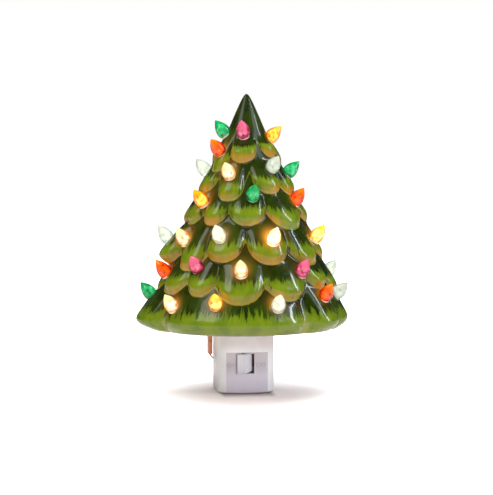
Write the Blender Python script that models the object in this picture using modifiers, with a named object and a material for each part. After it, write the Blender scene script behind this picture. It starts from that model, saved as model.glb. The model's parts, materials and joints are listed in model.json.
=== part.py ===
"""A plug-in night light: a glazed ceramic tree on a small switched housing with a candelabra lamp.

Units in the named sizes are millimetres and degrees. +Z is up, the tree faces -Y, and y = 0 is the
wall that the housing lies against. The origin lies on the housing's rear face, midway between the
two blades. A bearing is measured round the tree from its front, positive towards +X.
"""

import math

import bmesh
import bpy
from mathutils import Matrix, Vector

MM = 0.001
GAP = 0.3  # clearance between pieces that touch on the real object

# Housing
HOUSING_HALF_WIDTH = 17.2
HOUSING_DEPTH = 26.0
HOUSING_BOTTOM = -24.0
HOUSING_TOP = 15.2
HOUSING_CORNER = 8.5
HOUSING_CROWN = 0.8  # how far the front wall bows out at its middle
HOUSING_WALL = 2.0
HOUSING_FOOT_ROUND = 1.6
COVER_THICKNESS = 2.4
COVER_LIP_DEPTH = 3.0
COVER_LIP_WALL = 1.4
COVER_SCREW_HEIGHT = -17.5
SCREW_RADIUS = 1.2
SCREW_HEAD_RADIUS = 2.4
SCREW_HEAD_THICKNESS = 1.0
SCREW_HEAD_SUNK = 0.2
SCREW_HEAD_FLAT = 0.8  # flat part of the screw's head, as a share of its radius
SCREW_LENGTH = 6.5
SCREW_BOSS_RADIUS = 2.6

# Flat panel in the front wall, and the window of the switch
PANEL_HALF_WIDTH = 12.5
PANEL_TOP = 0.8
PANEL_RECESS = 0.8
WINDOW_CENTRE = -1.3
WINDOW_HALF_WIDTH = 5.45
WINDOW_TOP = -0.1
WINDOW_BOTTOM = -11.9
NOTCH_OFFSET = -1.0
NOTCH_RADIUS = 2.3
NOTCH_HEIGHT = 0.6

# Switch rocker: a drum with two flat faces on a vertical pivot in the front wall
PIVOT_OFFSET = -0.1
PIVOT_DEPTH = 1.3
PIVOT_RADIUS = 0.6
PIVOT_LENGTH = 1.6
DRUM_RADIUS = 5.1
ROCKER_PROUD = 1.6
RIDGE_OFFSET = -0.8
RIDGE_LEFT = 0.4  # the ridge between the two flats, measured from its middle
RIDGE_RIGHT = 0.3
RIDGE_RISE = 0.1
RIDGE_FALL = 0.15
NOSE_REACH = 6.2
NOSE_WIDTH = 1.6
BEARING_BLOCK_DEPTH = 2.2
BEARING_BLOCK_HALF_WIDTH = 3.0
BEARING_BLOCK_HEIGHT = 2.6

# Blades and the strips that join them to the socket
BLADE_SPACING = 12.7
BLADE_THICKNESS = 1.5
BLADE_LENGTH = 17.0
BLADE_NEUTRAL_WIDTH = 7.9
BLADE_HOT_WIDTH = 6.35
BLADE_HOLE_RADIUS = 1.6
BLADE_HOLE_FROM_TIP = 5.0
BLADE_TIP_CHAMFER = 1.4
STRIP_FOOT_Z = -9.0
STRIP_THICKNESS = 0.6
STRIP_WIDTH = 5.0
STRIP_FOOT_INSET = 1.0  # how far the neutral strip starts above the blade's lower edge

# Candelabra socket and lamp
SOCKET_Y = -13.2
SOCKET_RADIUS = 9.5
SOCKET_TOP = 34.0
SOCKET_FLOOR_DROP = 3.2  # from the housing's top down to the socket's floor
SOCKET_FLOOR_THICKNESS = 2.5
SOCKET_FLANGE_WIDTH = 1.0
SOCKET_FLANGE_THICKNESS = 2.0
SOCKET_CHAMFER = 0.6
LAMP_SHELL_RADIUS = 5.9
SLEEVE_THICKNESS = 0.5
SLEEVE_RING_INNER = 3.0
CONTACT_RADIUS = 1.5
CONTACT_HEAD_RADIUS = 2.2
CONTACT_HEAD_HEIGHT = 1.0
CONTACT_TAIL = 1.0  # length of the contact's rivet below the socket
LAMP_TIP_RADIUS = 2.3
LAMP_TIP_HEIGHT = 1.2
LAMP_INSULATOR_HEIGHT = 2.8
LAMP_SHELL_HEIGHT = 13.5
LAMP_SHELL_WALL = 0.4
LAMP_GLASS_RADIUS = 11.1
LAMP_GLASS_HEIGHT = 37.0
LAMP_GLASS_WALL = 0.8
LAMP_BELLY_SHARE = 0.42  # height of the glass's widest place, as a share of its height
LAMP_CROWN_POWER = 0.72  # how pointed the glass is above its widest place
LAMP_TIP_SHAPE = ((0.8, 0.3), (0.35, 0.0))  # solder drop below its rim: shares of radius, height
LAMP_INSULATOR_SHAPE = (0.78, 0.5)  # waist of the insulator: shares of shell radius and height
LAMP_INSULATOR_RIM = 0.6  # glass left round the solder drop
LAMP_STEM_RADII = (1.4, 1.2, 1.6)  # of the stem's head, its neck and the top of its flare
LAMP_STEM_HEAD = 3.0
LAMP_STEM_FOOT = 2.0
LAMP_NECK_RADIUS = 5.2
LAMP_STEM_HEIGHT = 10.0
FILAMENT_HEIGHT = 18.0
FILAMENT_HALF_WIDTH = 4.0
FILAMENT_WIRE = 0.3
FILAMENT_ARCH_SHARE = 0.25  # height of the arch, as a share of the filament's height
FILAMENT_FOOT_HALF = 1.0  # half the distance between the two feet

# Ceramic tree
TREE_AXIS_Y = -22.0
TREE_HEIGHT = 137.5
TREE_SLOPE = 0.42
TREE_TIP_ROUND = 2.2
TREE_DEPTH_SHARE = 0.78  # the tree is an ellipse in plan, shallower than it is wide
TREE_BACK_Y = -1.0
TREE_WALL = 3.6
TREE_FLOOR = 3.5
TREE_COLUMNS = 60
TREE_CROWDING = 14.0  # draws the columns towards the front, in degrees at the sides
TREE_SOLID_TIP = 12.6  # solid clay at the tip, above the hollow
HOLLOW_RINGS = 6
TIP_RINGS = (0.75, 3.6, 9.0, 17.0)  # depths of the rings of the bare tip below its top
HEM_HEIGHT = 9.0
HEM_TUCK = 7.0
LAMP_NOTCH_RADIUS = 12.4
BOUGH_STEP = 0.32  # share of a bough's swell that its lower edge already stands out
BOUGH_ROUNDING = 1.05  # rise of a bough's lower edge at its sides, as a share of its half width
BOUGH_CLEFT = 2.0  # how steeply the lower edge climbs past the sides of a bough
BOUGH_FADE = 0.65  # power of a bough's fade above its crest: lower is fuller
BOUGH_ROUNDNESS = 2.6  # power of a bough's cross-section: higher is flatter with steeper sides
UNDERSIDE_HEIGHT = 6.5
UNDERSIDE_LEAST = 1.0
LEDGE_DROP = 0.5  # fall of the ledge under a bough's lower edge
LEAST_FACE = 1.2  # least height of a bough above its crest
FACE_ROWS = (0.0, 0.3, 0.65, 1.0)  # rows from the ledge above down to a bough's crest
UNDERSIDE_ROWS = (0.5, 1.0)  # rows from the crest down to the lower edge

# Each tier: the level of its upper end, and its boughs as bearing and half width in degrees, level
# of the lowest point and swell. A level is a percentage of the tree's height.
TIERS = (
    (81, ((-14, 31, 71, 4.2), (48, 24, 73, 3.6), (-60, 20, 67, 3.6), (100, 26, 69, 3.2),
          (-112, 26, 70, 3.2), (155, 28, 71, 3.2), (-165, 26, 69, 3.2))),
    (71, ((-28, 18, 55, 4.4), (24, 24, 58, 4.4), (-72, 20, 58, 4.4), (60, 17, 57, 3.8),
          (92, 18, 57, 3.8), (-112, 18, 56, 3.8), (130, 18, 58, 3.6), (-148, 16, 57, 3.6),
          (168, 18, 57, 3.6))),
    (60, ((-6, 22, 45, 5.4), (-42, 16, 45, 4.6), (-72, 15, 45, 5.2), (39, 27, 43, 5.2),
          (82, 17, 45, 4.4), (-100, 14, 44, 5.0), (114, 16, 45, 4.2), (-126, 14, 46, 4.2),
          (145, 15, 46, 4.2))),
    (47, ((-26, 18, 30, 6.0), (12, 19, 29, 5.8), (-54, 15, 26, 5.6), (-84, 16, 28, 11.6),
          (48, 21, 28, 5.0), (86, 18, 29, 4.4), (-112, 15, 28, 7.0), (118, 15, 28, 4.6))),
    (32, ((-11, 18, 13, 6.6), (21, 18, 14, 6.2), (-39, 12, 16, 5.4), (-65, 16, 16, 5.2),
          (51, 14, 18, 5.6), (77, 14, 15, 5.0), (-94, 14, 15, 3.6), (104, 14, 15, 5.0),
          (-121, 14, 16, 5.0), (130, 14, 16, 5.0))),
    (21, ((-16, 48, -3, 6.6), (-84, 19, 1, 9.8), (47, 14, -1, 6.2), (74, 14, 1, 4.2),
          (101, 14, 1, 4.2), (-108, 15, 1, 8.0), (129, 15, 1, 6.0), (-134, 14, 1, 6.4))),
)

# Pin lights: name of the colour, bearing and level of the seat on the glaze
PINS = (
    ("green", -93, 83), ("pink", -18, 83), ("amber", 85, 80.5), ("red", -62, 75),
    ("clear", -104, 66.5), ("white", -32, 65.5), ("clear", 34, 68), ("green", 88, 65.5),
    ("green", 1, 56.5), ("orange", -62, 54), ("red", 64, 54.5), ("clear", -90, 38.5),
    ("white", -69, 38), ("clear", -30, 40), ("white", 15, 39), ("yellow", 74, 38.5),
    ("red", -84, 24), ("pink", -44, 27), ("white", -11, 26), ("pink", 34, 25.5),
    ("clear", 105, 22), ("green", -102, 13.5), ("white", -57, 11), ("yellow", -24, 12.5),
    ("clear", 11, 12), ("red", 48, 15), ("clear", 72, 14),
)
PIN_LIFT_ANGLE = 50.0  # how far a pin light points above the horizontal
PIN_HEAD_SHAPE = ((0.45, 0.82), (0.84, 0.56), (1.0, 0.32))  # teardrop: shares of radius, length
PIN_SHOULDER_SHAPE = (0.82, 0.08)
PIN_HOLE_SHARE = 0.3  # where the hole starts to narrow, as a share of the head's length
PIN_STEM_RADIUS = 1.5
PIN_STEM_LENGTH = 6.5
PIN_HEAD_RADIUS = 4.1
PIN_HEAD_LENGTH = 12.0
PIN_SEAT_DEPTH = 1.6
PIN_SIDES = 8
PIN_HOLE_REACH = 3.6  # how far a hole runs on past the stem, towards the hollow

# Spring clip that holds the tree on the housing
CLIP_THICKNESS = 1.1
CLIP_STRIP_WIDTH = 5.0
CLIP_BACK_Y = -2.5
CLIP_LEG_X = 20.45  # the sprung left leg; the right one lies flat on the housing
CLIP_BEND_Z = -2.0
CLIP_TOE_Z = -4.4
CLIP_BAND_MARGIN = 0.6
CLIP_LEG_INSET = 0.01  # keeps the legs' rear edges off the band's, for a clean join
CLIP_JOIN_INSET = 0.2  # the legs end this far inside the band that they grow from
CLIP_BEND_ROOM = 0.25  # how far the toe stands off, as a share of the strip's thickness


def tree_base():
    """Height of the tree's underside, which rests on the housing."""
    return HOUSING_TOP + GAP


def tree_top():
    return tree_base() + TREE_HEIGHT


def level_height(level):
    return tree_base() + TREE_HEIGHT * level / 100


def clear_scene():
    for item in list(bpy.data.objects):
        bpy.data.objects.remove(item, do_unlink=True)
    for group in list(bpy.data.collections):
        bpy.data.collections.remove(group)


def make_collection(name):
    group = bpy.data.collections.new(name)
    bpy.context.scene.collection.children.link(group)
    return group


def make_material(name, colour, roughness, metallic=0.0, transmission=0.0):
    finish = bpy.data.materials.new(name)
    finish.use_nodes = True
    shader = finish.node_tree.nodes["Principled BSDF"]
    shader.inputs["Base Color"].default_value = (*colour, 1.0)
    shader.inputs["Roughness"].default_value = roughness
    shader.inputs["Metallic"].default_value = metallic
    shader.inputs["Transmission Weight"].default_value = transmission
    return finish


def add_object(name, mesh, group, finish=None):
    item = bpy.data.objects.new(name, mesh)
    group.objects.link(item)
    if finish is not None:
        mesh.materials.append(finish)
        mesh.shade_smooth()
        mesh.set_sharp_from_angle(angle=math.radians(35))
    return item


def as_cutter(item):
    item.hide_render = True
    item.display_type = "WIRE"
    return item


def boolean(target, other, operation="DIFFERENCE"):
    step = target.modifiers.new(operation.lower(), "BOOLEAN")
    step.operation = operation
    step.object = other
    return step


def arc(centre, radius, start, end, steps):
    """Points on an arc in a plane, from one angle to the other in degrees."""
    turn = (end - start) / steps
    angles = [math.radians(start + turn * i) for i in range(steps + 1)]
    return [(centre[0] + radius * math.cos(a), centre[1] + radius * math.sin(a)) for a in angles]


def prism_mesh(name, outline, low, high, plane="XY"):
    """A flat outline in millimetres, given a thickness from low to high along the plane's normal."""
    data = bpy.data.curves.new(name, "CURVE")
    data.dimensions = "2D"
    data.fill_mode = "BOTH"
    data.extrude = abs(high - low) / 2 * MM
    spline = data.splines.new("POLY")
    spline.points.add(len(outline) - 1)
    for point, (a, b) in zip(spline.points, outline):
        point.co = (a * MM, b * MM, 0.0, 1.0)
    spline.use_cyclic_u = True
    guide = bpy.data.objects.new(name, data)
    bpy.context.scene.collection.objects.link(guide)
    middle = (low + high) / 2 * MM
    turns = {
        "XY": Matrix.Identity(4),
        "XZ": Matrix.Rotation(math.pi / 2, 4, "X"),
        "YZ": Matrix.Rotation(math.pi / 2, 4, "Z") @ Matrix.Rotation(math.pi / 2, 4, "X"),
    }
    shift = {"XY": (0, 0, middle), "XZ": (0, middle, 0), "YZ": (middle, 0, 0)}[plane]
    guide.matrix_world = Matrix.Translation(shift) @ turns[plane]
    bpy.context.view_layer.update()
    shape = bpy.context.evaluated_depsgraph_get()
    mesh = bpy.data.meshes.new_from_object(guide.evaluated_get(shape))
    mesh.transform(guide.matrix_world)
    bpy.data.objects.remove(guide, do_unlink=True)
    work = bmesh.new()
    work.from_mesh(mesh)
    bmesh.ops.remove_doubles(work, verts=work.verts, dist=1e-6)
    bmesh.ops.recalc_face_normals(work, faces=work.faces)
    work.to_mesh(mesh)
    work.free()
    mesh.name = name
    return mesh


def box_mesh(name, low, high):
    work = bmesh.new()
    bmesh.ops.create_cube(work, size=1.0)
    size = [(b - a) * MM for a, b in zip(low, high)]
    middle = [(a + b) / 2 * MM for a, b in zip(low, high)]
    bmesh.ops.scale(work, vec=size, verts=work.verts)
    bmesh.ops.translate(work, vec=middle, verts=work.verts)
    mesh = bpy.data.meshes.new(name)
    work.to_mesh(mesh)
    work.free()
    return mesh


def cylinder_mesh(name, radius, low, high, centre, axis="Z", sides=16):
    """A cylinder from low to high along an axis; centre is its place in the other two directions."""
    work = bmesh.new()
    bmesh.ops.create_cone(
        work, cap_ends=True, segments=sides, radius1=radius * MM, radius2=radius * MM,
        depth=(high - low) * MM,
    )
    middle = (low + high) / 2 * MM
    a, b = centre[0] * MM, centre[1] * MM
    turn = {
        "Z": Matrix.Translation((a, b, middle)),
        "Y": Matrix.Translation((a, middle, b)) @ Matrix.Rotation(math.pi / 2, 4, "X"),
        "X": Matrix.Translation((middle, a, b)) @ Matrix.Rotation(math.pi / 2, 4, "Y"),
    }[axis]
    work.transform(turn)
    mesh = bpy.data.meshes.new(name)
    work.to_mesh(mesh)
    work.free()
    return mesh


def profile_mesh(name, points, closed=False):
    """The edge chain that a Screw modifier turns, with points as (radius, height) in millimetres."""
    verts = [(r * MM, 0.0, z * MM) for r, z in points]
    edges = [(i, i + 1) for i in range(len(verts) - 1)]
    if closed:
        edges.append((len(verts) - 1, 0))
    mesh = bpy.data.meshes.new(name)
    mesh.from_pydata(verts, edges, [])
    return mesh


def turned(name, points, sides, place, group, finish=None, closed=False):
    """A solid of revolution about a vertical axis; the profile runs down its outer side."""
    item = add_object(name, profile_mesh(name, points, closed), group, finish)
    item.location = [v * MM for v in place]
    spin = item.modifiers.new("turn", "SCREW")
    spin.steps = sides
    spin.render_steps = sides
    spin.use_merge_vertices = True
    spin.merge_threshold = 0.00001
    spin.use_smooth_shade = True
    return item


def evaluated_mesh(item):
    bpy.context.view_layer.update()
    shape = bpy.context.evaluated_depsgraph_get()
    return bpy.data.meshes.new_from_object(item.evaluated_get(shape))


def bent_strip(path, thickness):
    """Outline of a strip of even thickness that follows a path of points, mitred at its bends."""
    left, right = [], []
    for i, point in enumerate(path):
        here = Vector(point)
        before = (here - Vector(path[i - 1])).normalized() if i > 0 else None
        after = (Vector(path[i + 1]) - here).normalized() if i < len(path) - 1 else None
        ahead = after or before
        behind = before or after
        along = (ahead + behind).normalized()
        across = Vector((-along.y, along.x))
        reach = thickness / 2 / max(across.dot(Vector((-ahead.y, ahead.x))), 0.3)
        left.append(tuple(here + across * reach))
        right.append(tuple(here - across * reach))
    return left + right[::-1]


# Housing


def housing_outline(inset, back):
    """Plan of the housing, inset from its outer faces: two straight sides, two round front corners
    and a slightly bowed front wall."""
    half = HOUSING_HALF_WIDTH - inset
    radius = HOUSING_CORNER - inset
    front = -(HOUSING_DEPTH - HOUSING_CROWN - inset)
    flat = half - radius
    left = arc((-flat, front + radius), radius, 180, 270, 6)
    right = arc((flat, front + radius), radius, 270, 360, 6)
    bow = [(x, front - HOUSING_CROWN * (1 - (x / flat) ** 2)) for x in (-flat / 2, 0, flat / 2)]
    return [(-half, back)] + left + bow + right + [(half, back)]


def panel_face():
    """y of the flat panel in the front wall."""
    return -(HOUSING_DEPTH - PANEL_RECESS)


def pivot_place():
    return WINDOW_CENTRE + PIVOT_OFFSET, panel_face() + PIVOT_DEPTH


def screw_seat_depth():
    return SCREW_HEAD_SUNK + SCREW_HEAD_THICKNESS + GAP


def round_foot(mesh, back):
    """Rounds the edges of the housing's underside, apart from the one at its open back."""
    work = bmesh.new()
    work.from_mesh(mesh)
    low = HOUSING_BOTTOM * MM
    foot = []
    for edge in work.edges:
        on_floor = all(abs(v.co.z - low) < 1e-6 for v in edge.verts)
        on_side = any(abs(f.normal.z) < 0.5 for f in edge.link_faces)
        on_back = all(abs(v.co.y - back * MM) < 1e-6 for v in edge.verts)
        if on_floor and on_side and not on_back:
            foot.append(edge)
    bmesh.ops.bevel(
        work, geom=foot, offset=HOUSING_FOOT_ROUND * MM, segments=2, profile=0.5, affect="EDGES"
    )
    work.to_mesh(mesh)
    work.free()


def make_front_housing(parts, cutters, plastic):
    back = -(COVER_THICKNESS + GAP)
    mesh = prism_mesh("front_housing", housing_outline(0, back), HOUSING_BOTTOM, HOUSING_TOP)
    round_foot(mesh, back)
    housing = add_object("front_housing", mesh, parts, plastic)

    hollow = as_cutter(add_object("housing_hollow", prism_mesh(
        "housing_hollow", housing_outline(HOUSING_WALL, 1.0),
        HOUSING_BOTTOM + HOUSING_WALL, HOUSING_TOP - HOUSING_WALL,
    ), cutters))
    inner = panel_face() + HOUSING_WALL
    pivot_x, pivot_y = pivot_place()
    kept = [("panel_backing", box_mesh(
        "panel_backing",
        (-PANEL_HALF_WIDTH, -HOUSING_DEPTH, HOUSING_BOTTOM),
        (PANEL_HALF_WIDTH, inner, PANEL_TOP + HOUSING_WALL),
    ))]
    for end, low, high in (
        ("upper", WINDOW_TOP, WINDOW_TOP + BEARING_BLOCK_HEIGHT),
        ("lower", WINDOW_BOTTOM - BEARING_BLOCK_HEIGHT, WINDOW_BOTTOM),
    ):
        kept.append((f"{end}_bearing_block", box_mesh(
            f"{end}_bearing_block",
            (pivot_x - BEARING_BLOCK_HALF_WIDTH, inner - HOUSING_WALL / 2, low),
            (pivot_x + BEARING_BLOCK_HALF_WIDTH, inner + BEARING_BLOCK_DEPTH, high),
        )))
    kept.append(("screw_boss", cylinder_mesh(
        "screw_boss", SCREW_BOSS_RADIUS, inner - HOUSING_WALL / 2, back,
        (0, COVER_SCREW_HEIGHT), "Y", 16,
    )))
    for name, shape in kept:
        boolean(hollow, as_cutter(add_object(name, shape, cutters)))
    boolean(housing, hollow)

    cuts = {
        "panel_cut": box_mesh(
            "panel_cut", (-PANEL_HALF_WIDTH, -HOUSING_DEPTH - 2, HOUSING_BOTTOM - 1),
            (PANEL_HALF_WIDTH, panel_face(), PANEL_TOP),
        ),
        "window_cut": box_mesh(
            "window_cut",
            (WINDOW_CENTRE - WINDOW_HALF_WIDTH, -HOUSING_DEPTH - 1, WINDOW_BOTTOM),
            (WINDOW_CENTRE + WINDOW_HALF_WIDTH, inner + BEARING_BLOCK_DEPTH + 1, WINDOW_TOP),
        ),
        "notch_cut": cylinder_mesh(
            "notch_cut", NOTCH_RADIUS, -HOUSING_DEPTH - 1, panel_face() + PIVOT_DEPTH / 2,
            (WINDOW_CENTRE + NOTCH_OFFSET, WINDOW_TOP + NOTCH_HEIGHT - NOTCH_RADIUS), "Y", 20,
        ),
        "pivot_bearing": cylinder_mesh(
            "pivot_bearing", PIVOT_RADIUS + GAP, WINDOW_BOTTOM - PIVOT_LENGTH - GAP,
            WINDOW_TOP + PIVOT_LENGTH + GAP, (pivot_x, pivot_y), "Z", 10,
        ),
        "socket_hole": cylinder_mesh(
            "socket_hole", SOCKET_RADIUS + GAP, HOUSING_TOP - HOUSING_WALL - 1, HOUSING_TOP + 1,
            (0, SOCKET_Y), "Z", 32,
        ),
        "screw_thread_hole": cylinder_mesh(
            "screw_thread_hole", SCREW_RADIUS + GAP, back - SCREW_LENGTH - 1, back + 1,
            (0, COVER_SCREW_HEIGHT), "Y", 12,
        ),
    }
    for name, shape in cuts.items():
        boolean(housing, as_cutter(add_object(name, shape, cutters)))
    return housing


def make_rear_cover(parts, cutters, plastic):
    """The flat rear cover, with a lip inside the housing, the blades' slots and a screw seat."""
    half = HOUSING_HALF_WIDTH
    corner = HOUSING_FOOT_ROUND
    low, high = HOUSING_BOTTOM, HOUSING_TOP
    outline = arc((-half + corner, low + corner), corner, 180, 270, 3)
    outline += arc((half - corner, low + corner), corner, 270, 360, 3)
    outline += [(half, high), (-half, high)]
    mesh = prism_mesh("rear_cover", outline, -COVER_THICKNESS, 0.0, "XZ")
    cover = add_object("rear_cover", mesh, parts, plastic)

    inset = HOUSING_WALL + GAP
    lip_front = -(COVER_THICKNESS + COVER_LIP_DEPTH)
    lip = as_cutter(add_object("cover_lip", box_mesh(
        "cover_lip", (-half + inset, lip_front, low + inset),
        (half - inset, -COVER_THICKNESS / 2, high - inset),
    ), cutters))
    lip_hollow = box_mesh(
        "cover_lip_hollow",
        (-half + inset + COVER_LIP_WALL, lip_front - 1, low + inset + COVER_LIP_WALL),
        (half - inset - COVER_LIP_WALL, -COVER_THICKNESS, high + 1),
    )
    boolean(lip, as_cutter(add_object("cover_lip_hollow", lip_hollow, cutters)))
    boolean(cover, lip, "UNION")

    cuts = {
        "screw_seat": cylinder_mesh(
            "screw_seat", SCREW_HEAD_RADIUS + GAP, -screw_seat_depth(), 1,
            (0, COVER_SCREW_HEIGHT), "Y", 16,
        ),
        "screw_hole": cylinder_mesh(
            "screw_hole", SCREW_RADIUS + GAP, -COVER_THICKNESS - 1, 1,
            (0, COVER_SCREW_HEIGHT), "Y", 12,
        ),
    }
    for name, side, width in (
        ("neutral_slot", -1, BLADE_NEUTRAL_WIDTH), ("hot_slot", 1, BLADE_HOT_WIDTH)
    ):
        middle = side * BLADE_SPACING / 2
        reach = BLADE_THICKNESS / 2 + GAP
        cuts[name] = box_mesh(
            name, (middle - reach, -COVER_THICKNESS - 1, -width / 2 - GAP),
            (middle + reach, 1, width / 2 + GAP),
        )
    for name, shape in cuts.items():
        boolean(cover, as_cutter(add_object(name, shape, cutters)))
    return cover


def make_cover_screw(parts, steel):
    top = -SCREW_HEAD_SUNK
    under = top - SCREW_HEAD_THICKNESS
    screw = turned("cover_screw", [
        (0, top), (SCREW_HEAD_RADIUS * SCREW_HEAD_FLAT, top),
        (SCREW_HEAD_RADIUS, top - SCREW_HEAD_THICKNESS / 2),
        (SCREW_HEAD_RADIUS, under), (SCREW_RADIUS, under),
        (SCREW_RADIUS, under - SCREW_LENGTH + SCREW_RADIUS), (0, under - SCREW_LENGTH),
    ], 16, (0, 0, COVER_SCREW_HEIGHT), parts, steel)
    screw.rotation_euler = (-math.pi / 2, 0, 0)
    return screw


# Switch, blades and strips


def leaf_face():
    """y of the switch leaf's front face, just behind the rocker's nose."""
    return pivot_place()[1] + NOSE_REACH + GAP


def hot_face():
    """y of the hot contact's front face, behind the leaf."""
    return leaf_face() + STRIP_THICKNESS + GAP


def blade_inner_end():
    return hot_face() + STRIP_THICKNESS + GAP


def rocker_outline():
    """Plan of the rocker about its pivot in the ON place: the left flat stands proud of the panel,
    the right one slopes in behind it, and a nose at the back works the switch leaf."""
    proud = ROCKER_PROUD + PIVOT_DEPTH
    corner = -math.sqrt(DRUM_RADIUS ** 2 - proud ** 2)
    nose = NOSE_WIDTH / 2
    ridge = [
        (RIDGE_OFFSET - RIDGE_LEFT, -proud - RIDGE_RISE),
        (RIDGE_OFFSET + RIDGE_RIGHT, -proud + RIDGE_FALL),
    ]
    right = arc((0, 0), DRUM_RADIUS, 30, 70, 4)
    left = arc((0, 0), DRUM_RADIUS, 110, 173, 5)
    return [(corner, -proud)] + ridge + right + [(nose, NOSE_REACH), (-nose, NOSE_REACH)] + left


def make_rocker(parts, cutters, plastic):
    place_x, place_y = pivot_place()
    low, high = WINDOW_BOTTOM + GAP, WINDOW_TOP - GAP
    mesh = prism_mesh("switch_rocker", rocker_outline(), low, high)
    rocker = add_object("switch_rocker", mesh, parts, plastic)
    pivot = as_cutter(add_object("rocker_pivot", cylinder_mesh(
        "rocker_pivot", PIVOT_RADIUS, WINDOW_BOTTOM - PIVOT_LENGTH, WINDOW_TOP + PIVOT_LENGTH,
        (0, 0), "Z", 10,
    ), cutters))
    boolean(rocker, pivot, "UNION")
    for item in (rocker, pivot):
        item.location = (place_x * MM, place_y * MM, 0)
    return rocker


def make_blade(name, side, width, parts, cutters, brass):
    tip, half, cut = BLADE_LENGTH, width / 2, BLADE_TIP_CHAMFER
    inner = blade_inner_end()
    outline = [
        (inner, -half), (tip - cut, -half), (tip, -half + cut),
        (tip, half - cut), (tip - cut, half), (inner, half),
    ]
    middle = side * BLADE_SPACING / 2
    reach = BLADE_THICKNESS / 2
    blade = add_object(
        name, prism_mesh(name, outline, middle - reach, middle + reach, "YZ"), parts, brass
    )
    hole = cylinder_mesh(
        f"{name}_hole", BLADE_HOLE_RADIUS, middle - BLADE_THICKNESS, middle + BLADE_THICKNESS,
        (tip - BLADE_HOLE_FROM_TIP, 0), "X", 16,
    )
    boolean(blade, as_cutter(add_object(f"{name}_hole", hole, cutters)))
    return blade


def make_strips(parts, brass):
    """The neutral strip, the hot contact and the leaf that the rocker presses on the hot contact."""
    half = STRIP_WIDTH / 2
    edge = -BLADE_SPACING / 2 + BLADE_THICKNESS / 2 + GAP
    add_object("neutral_strip", box_mesh(
        "neutral_strip", (edge, SOCKET_Y - half, -BLADE_NEUTRAL_WIDTH / 2 + STRIP_FOOT_INSET),
        (edge + STRIP_THICKNESS, SOCKET_Y + half, socket_floor()),
    ), parts, brass)
    add_object("hot_contact", box_mesh(
        "hot_contact", (WINDOW_CENTRE, hot_face(), STRIP_FOOT_Z),
        ((BLADE_SPACING + BLADE_THICKNESS) / 2, hot_face() + STRIP_THICKNESS, BLADE_HOT_WIDTH / 2),
    ), parts, brass)
    leaf_y = leaf_face() + STRIP_THICKNESS / 2
    tongue_z = contact_bottom() - GAP - STRIP_THICKNESS / 2
    path = [(leaf_y, STRIP_FOOT_Z), (leaf_y, tongue_z), (SOCKET_Y + CONTACT_RADIUS, tongue_z)]
    add_object("switch_leaf", prism_mesh(
        "switch_leaf", bent_strip(path, STRIP_THICKNESS), -half, half, "YZ"
    ), parts, brass)


# Socket and lamp


def socket_floor():
    return HOUSING_TOP - SOCKET_FLOOR_DROP


def socket_underside():
    return socket_floor() - SOCKET_FLOOR_THICKNESS


def socket_bore():
    return LAMP_SHELL_RADIUS + GAP + SLEEVE_THICKNESS + GAP


def contact_bottom():
    return socket_underside() - CONTACT_TAIL - GAP


def contact_top():
    return socket_floor() + GAP + CONTACT_HEAD_HEIGHT


def make_socket(parts, cutters, plastic, brass):
    place = (0, SOCKET_Y, 0)
    flange = SOCKET_RADIUS + SOCKET_FLANGE_WIDTH
    flange_top = HOUSING_TOP - HOUSING_WALL - GAP
    flange_low = flange_top - SOCKET_FLANGE_THICKNESS
    bore = socket_bore()
    hole = CONTACT_RADIUS + GAP
    collar = turned("socket_collar", [
        (SOCKET_RADIUS - SOCKET_CHAMFER, SOCKET_TOP), (SOCKET_RADIUS, SOCKET_TOP - SOCKET_CHAMFER),
        (SOCKET_RADIUS, flange_top), (flange, flange_top), (flange, flange_low),
        (SOCKET_RADIUS, flange_low), (SOCKET_RADIUS, socket_underside()),
        (hole, socket_underside()), (hole, socket_floor()), (bore, socket_floor()),
        (bore, SOCKET_TOP),
    ], 24, place, parts, plastic, closed=True)
    edge = -BLADE_SPACING / 2 + BLADE_THICKNESS / 2
    slot = box_mesh(
        "strip_slot", (edge, SOCKET_Y - STRIP_WIDTH / 2 - GAP, socket_underside() - 1),
        (edge + STRIP_THICKNESS + 2 * GAP, SOCKET_Y + STRIP_WIDTH / 2 + GAP, socket_floor() + 1),
    )
    boolean(collar, as_cutter(add_object("strip_slot", slot, cutters)))

    outer = bore - GAP
    inner = outer - SLEEVE_THICKNESS
    low = socket_floor() + GAP
    turned("socket_sleeve", [
        (outer, SOCKET_TOP - 1), (outer, low), (SLEEVE_RING_INNER, low),
        (SLEEVE_RING_INNER, low + SLEEVE_THICKNESS), (inner, low + SLEEVE_THICKNESS),
        (inner, SOCKET_TOP - 1),
    ], 20, place, parts, brass, closed=True)
    turned("centre_contact", [
        (0, contact_top()), (CONTACT_HEAD_RADIUS, contact_top()), (CONTACT_HEAD_RADIUS, low),
        (CONTACT_RADIUS, low), (CONTACT_RADIUS, contact_bottom()), (0, contact_bottom()),
    ], 12, place, parts, brass)


def glass_profile(wall, rings):
    """Profile of the lamp's glass from its tip down to its neck, moved in by the wall."""
    shell_top = lamp_shell_bottom() + LAMP_SHELL_HEIGHT
    neck = LAMP_NECK_RADIUS
    belly = LAMP_BELLY_SHARE
    points = []
    for i in range(rings + 1):
        t = 1 - i / rings
        if t > belly:
            u = (t - belly) / (1 - belly)
            radius = LAMP_GLASS_RADIUS * (1 - u * u) ** LAMP_CROWN_POWER
        else:
            u = t / belly
            radius = neck + (LAMP_GLASS_RADIUS - neck) * u * u * (3 - 2 * u)
        height = shell_top + (LAMP_GLASS_HEIGHT - wall) * t
        points.append((max(radius - wall, 0.0), height))
    points.append((neck - wall, lamp_shell_bottom() + 2 * GAP))
    return points


def lamp_bottom():
    return contact_top() + GAP


def lamp_shell_bottom():
    return lamp_bottom() + LAMP_TIP_HEIGHT + GAP + LAMP_INSULATOR_HEIGHT + GAP


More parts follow.
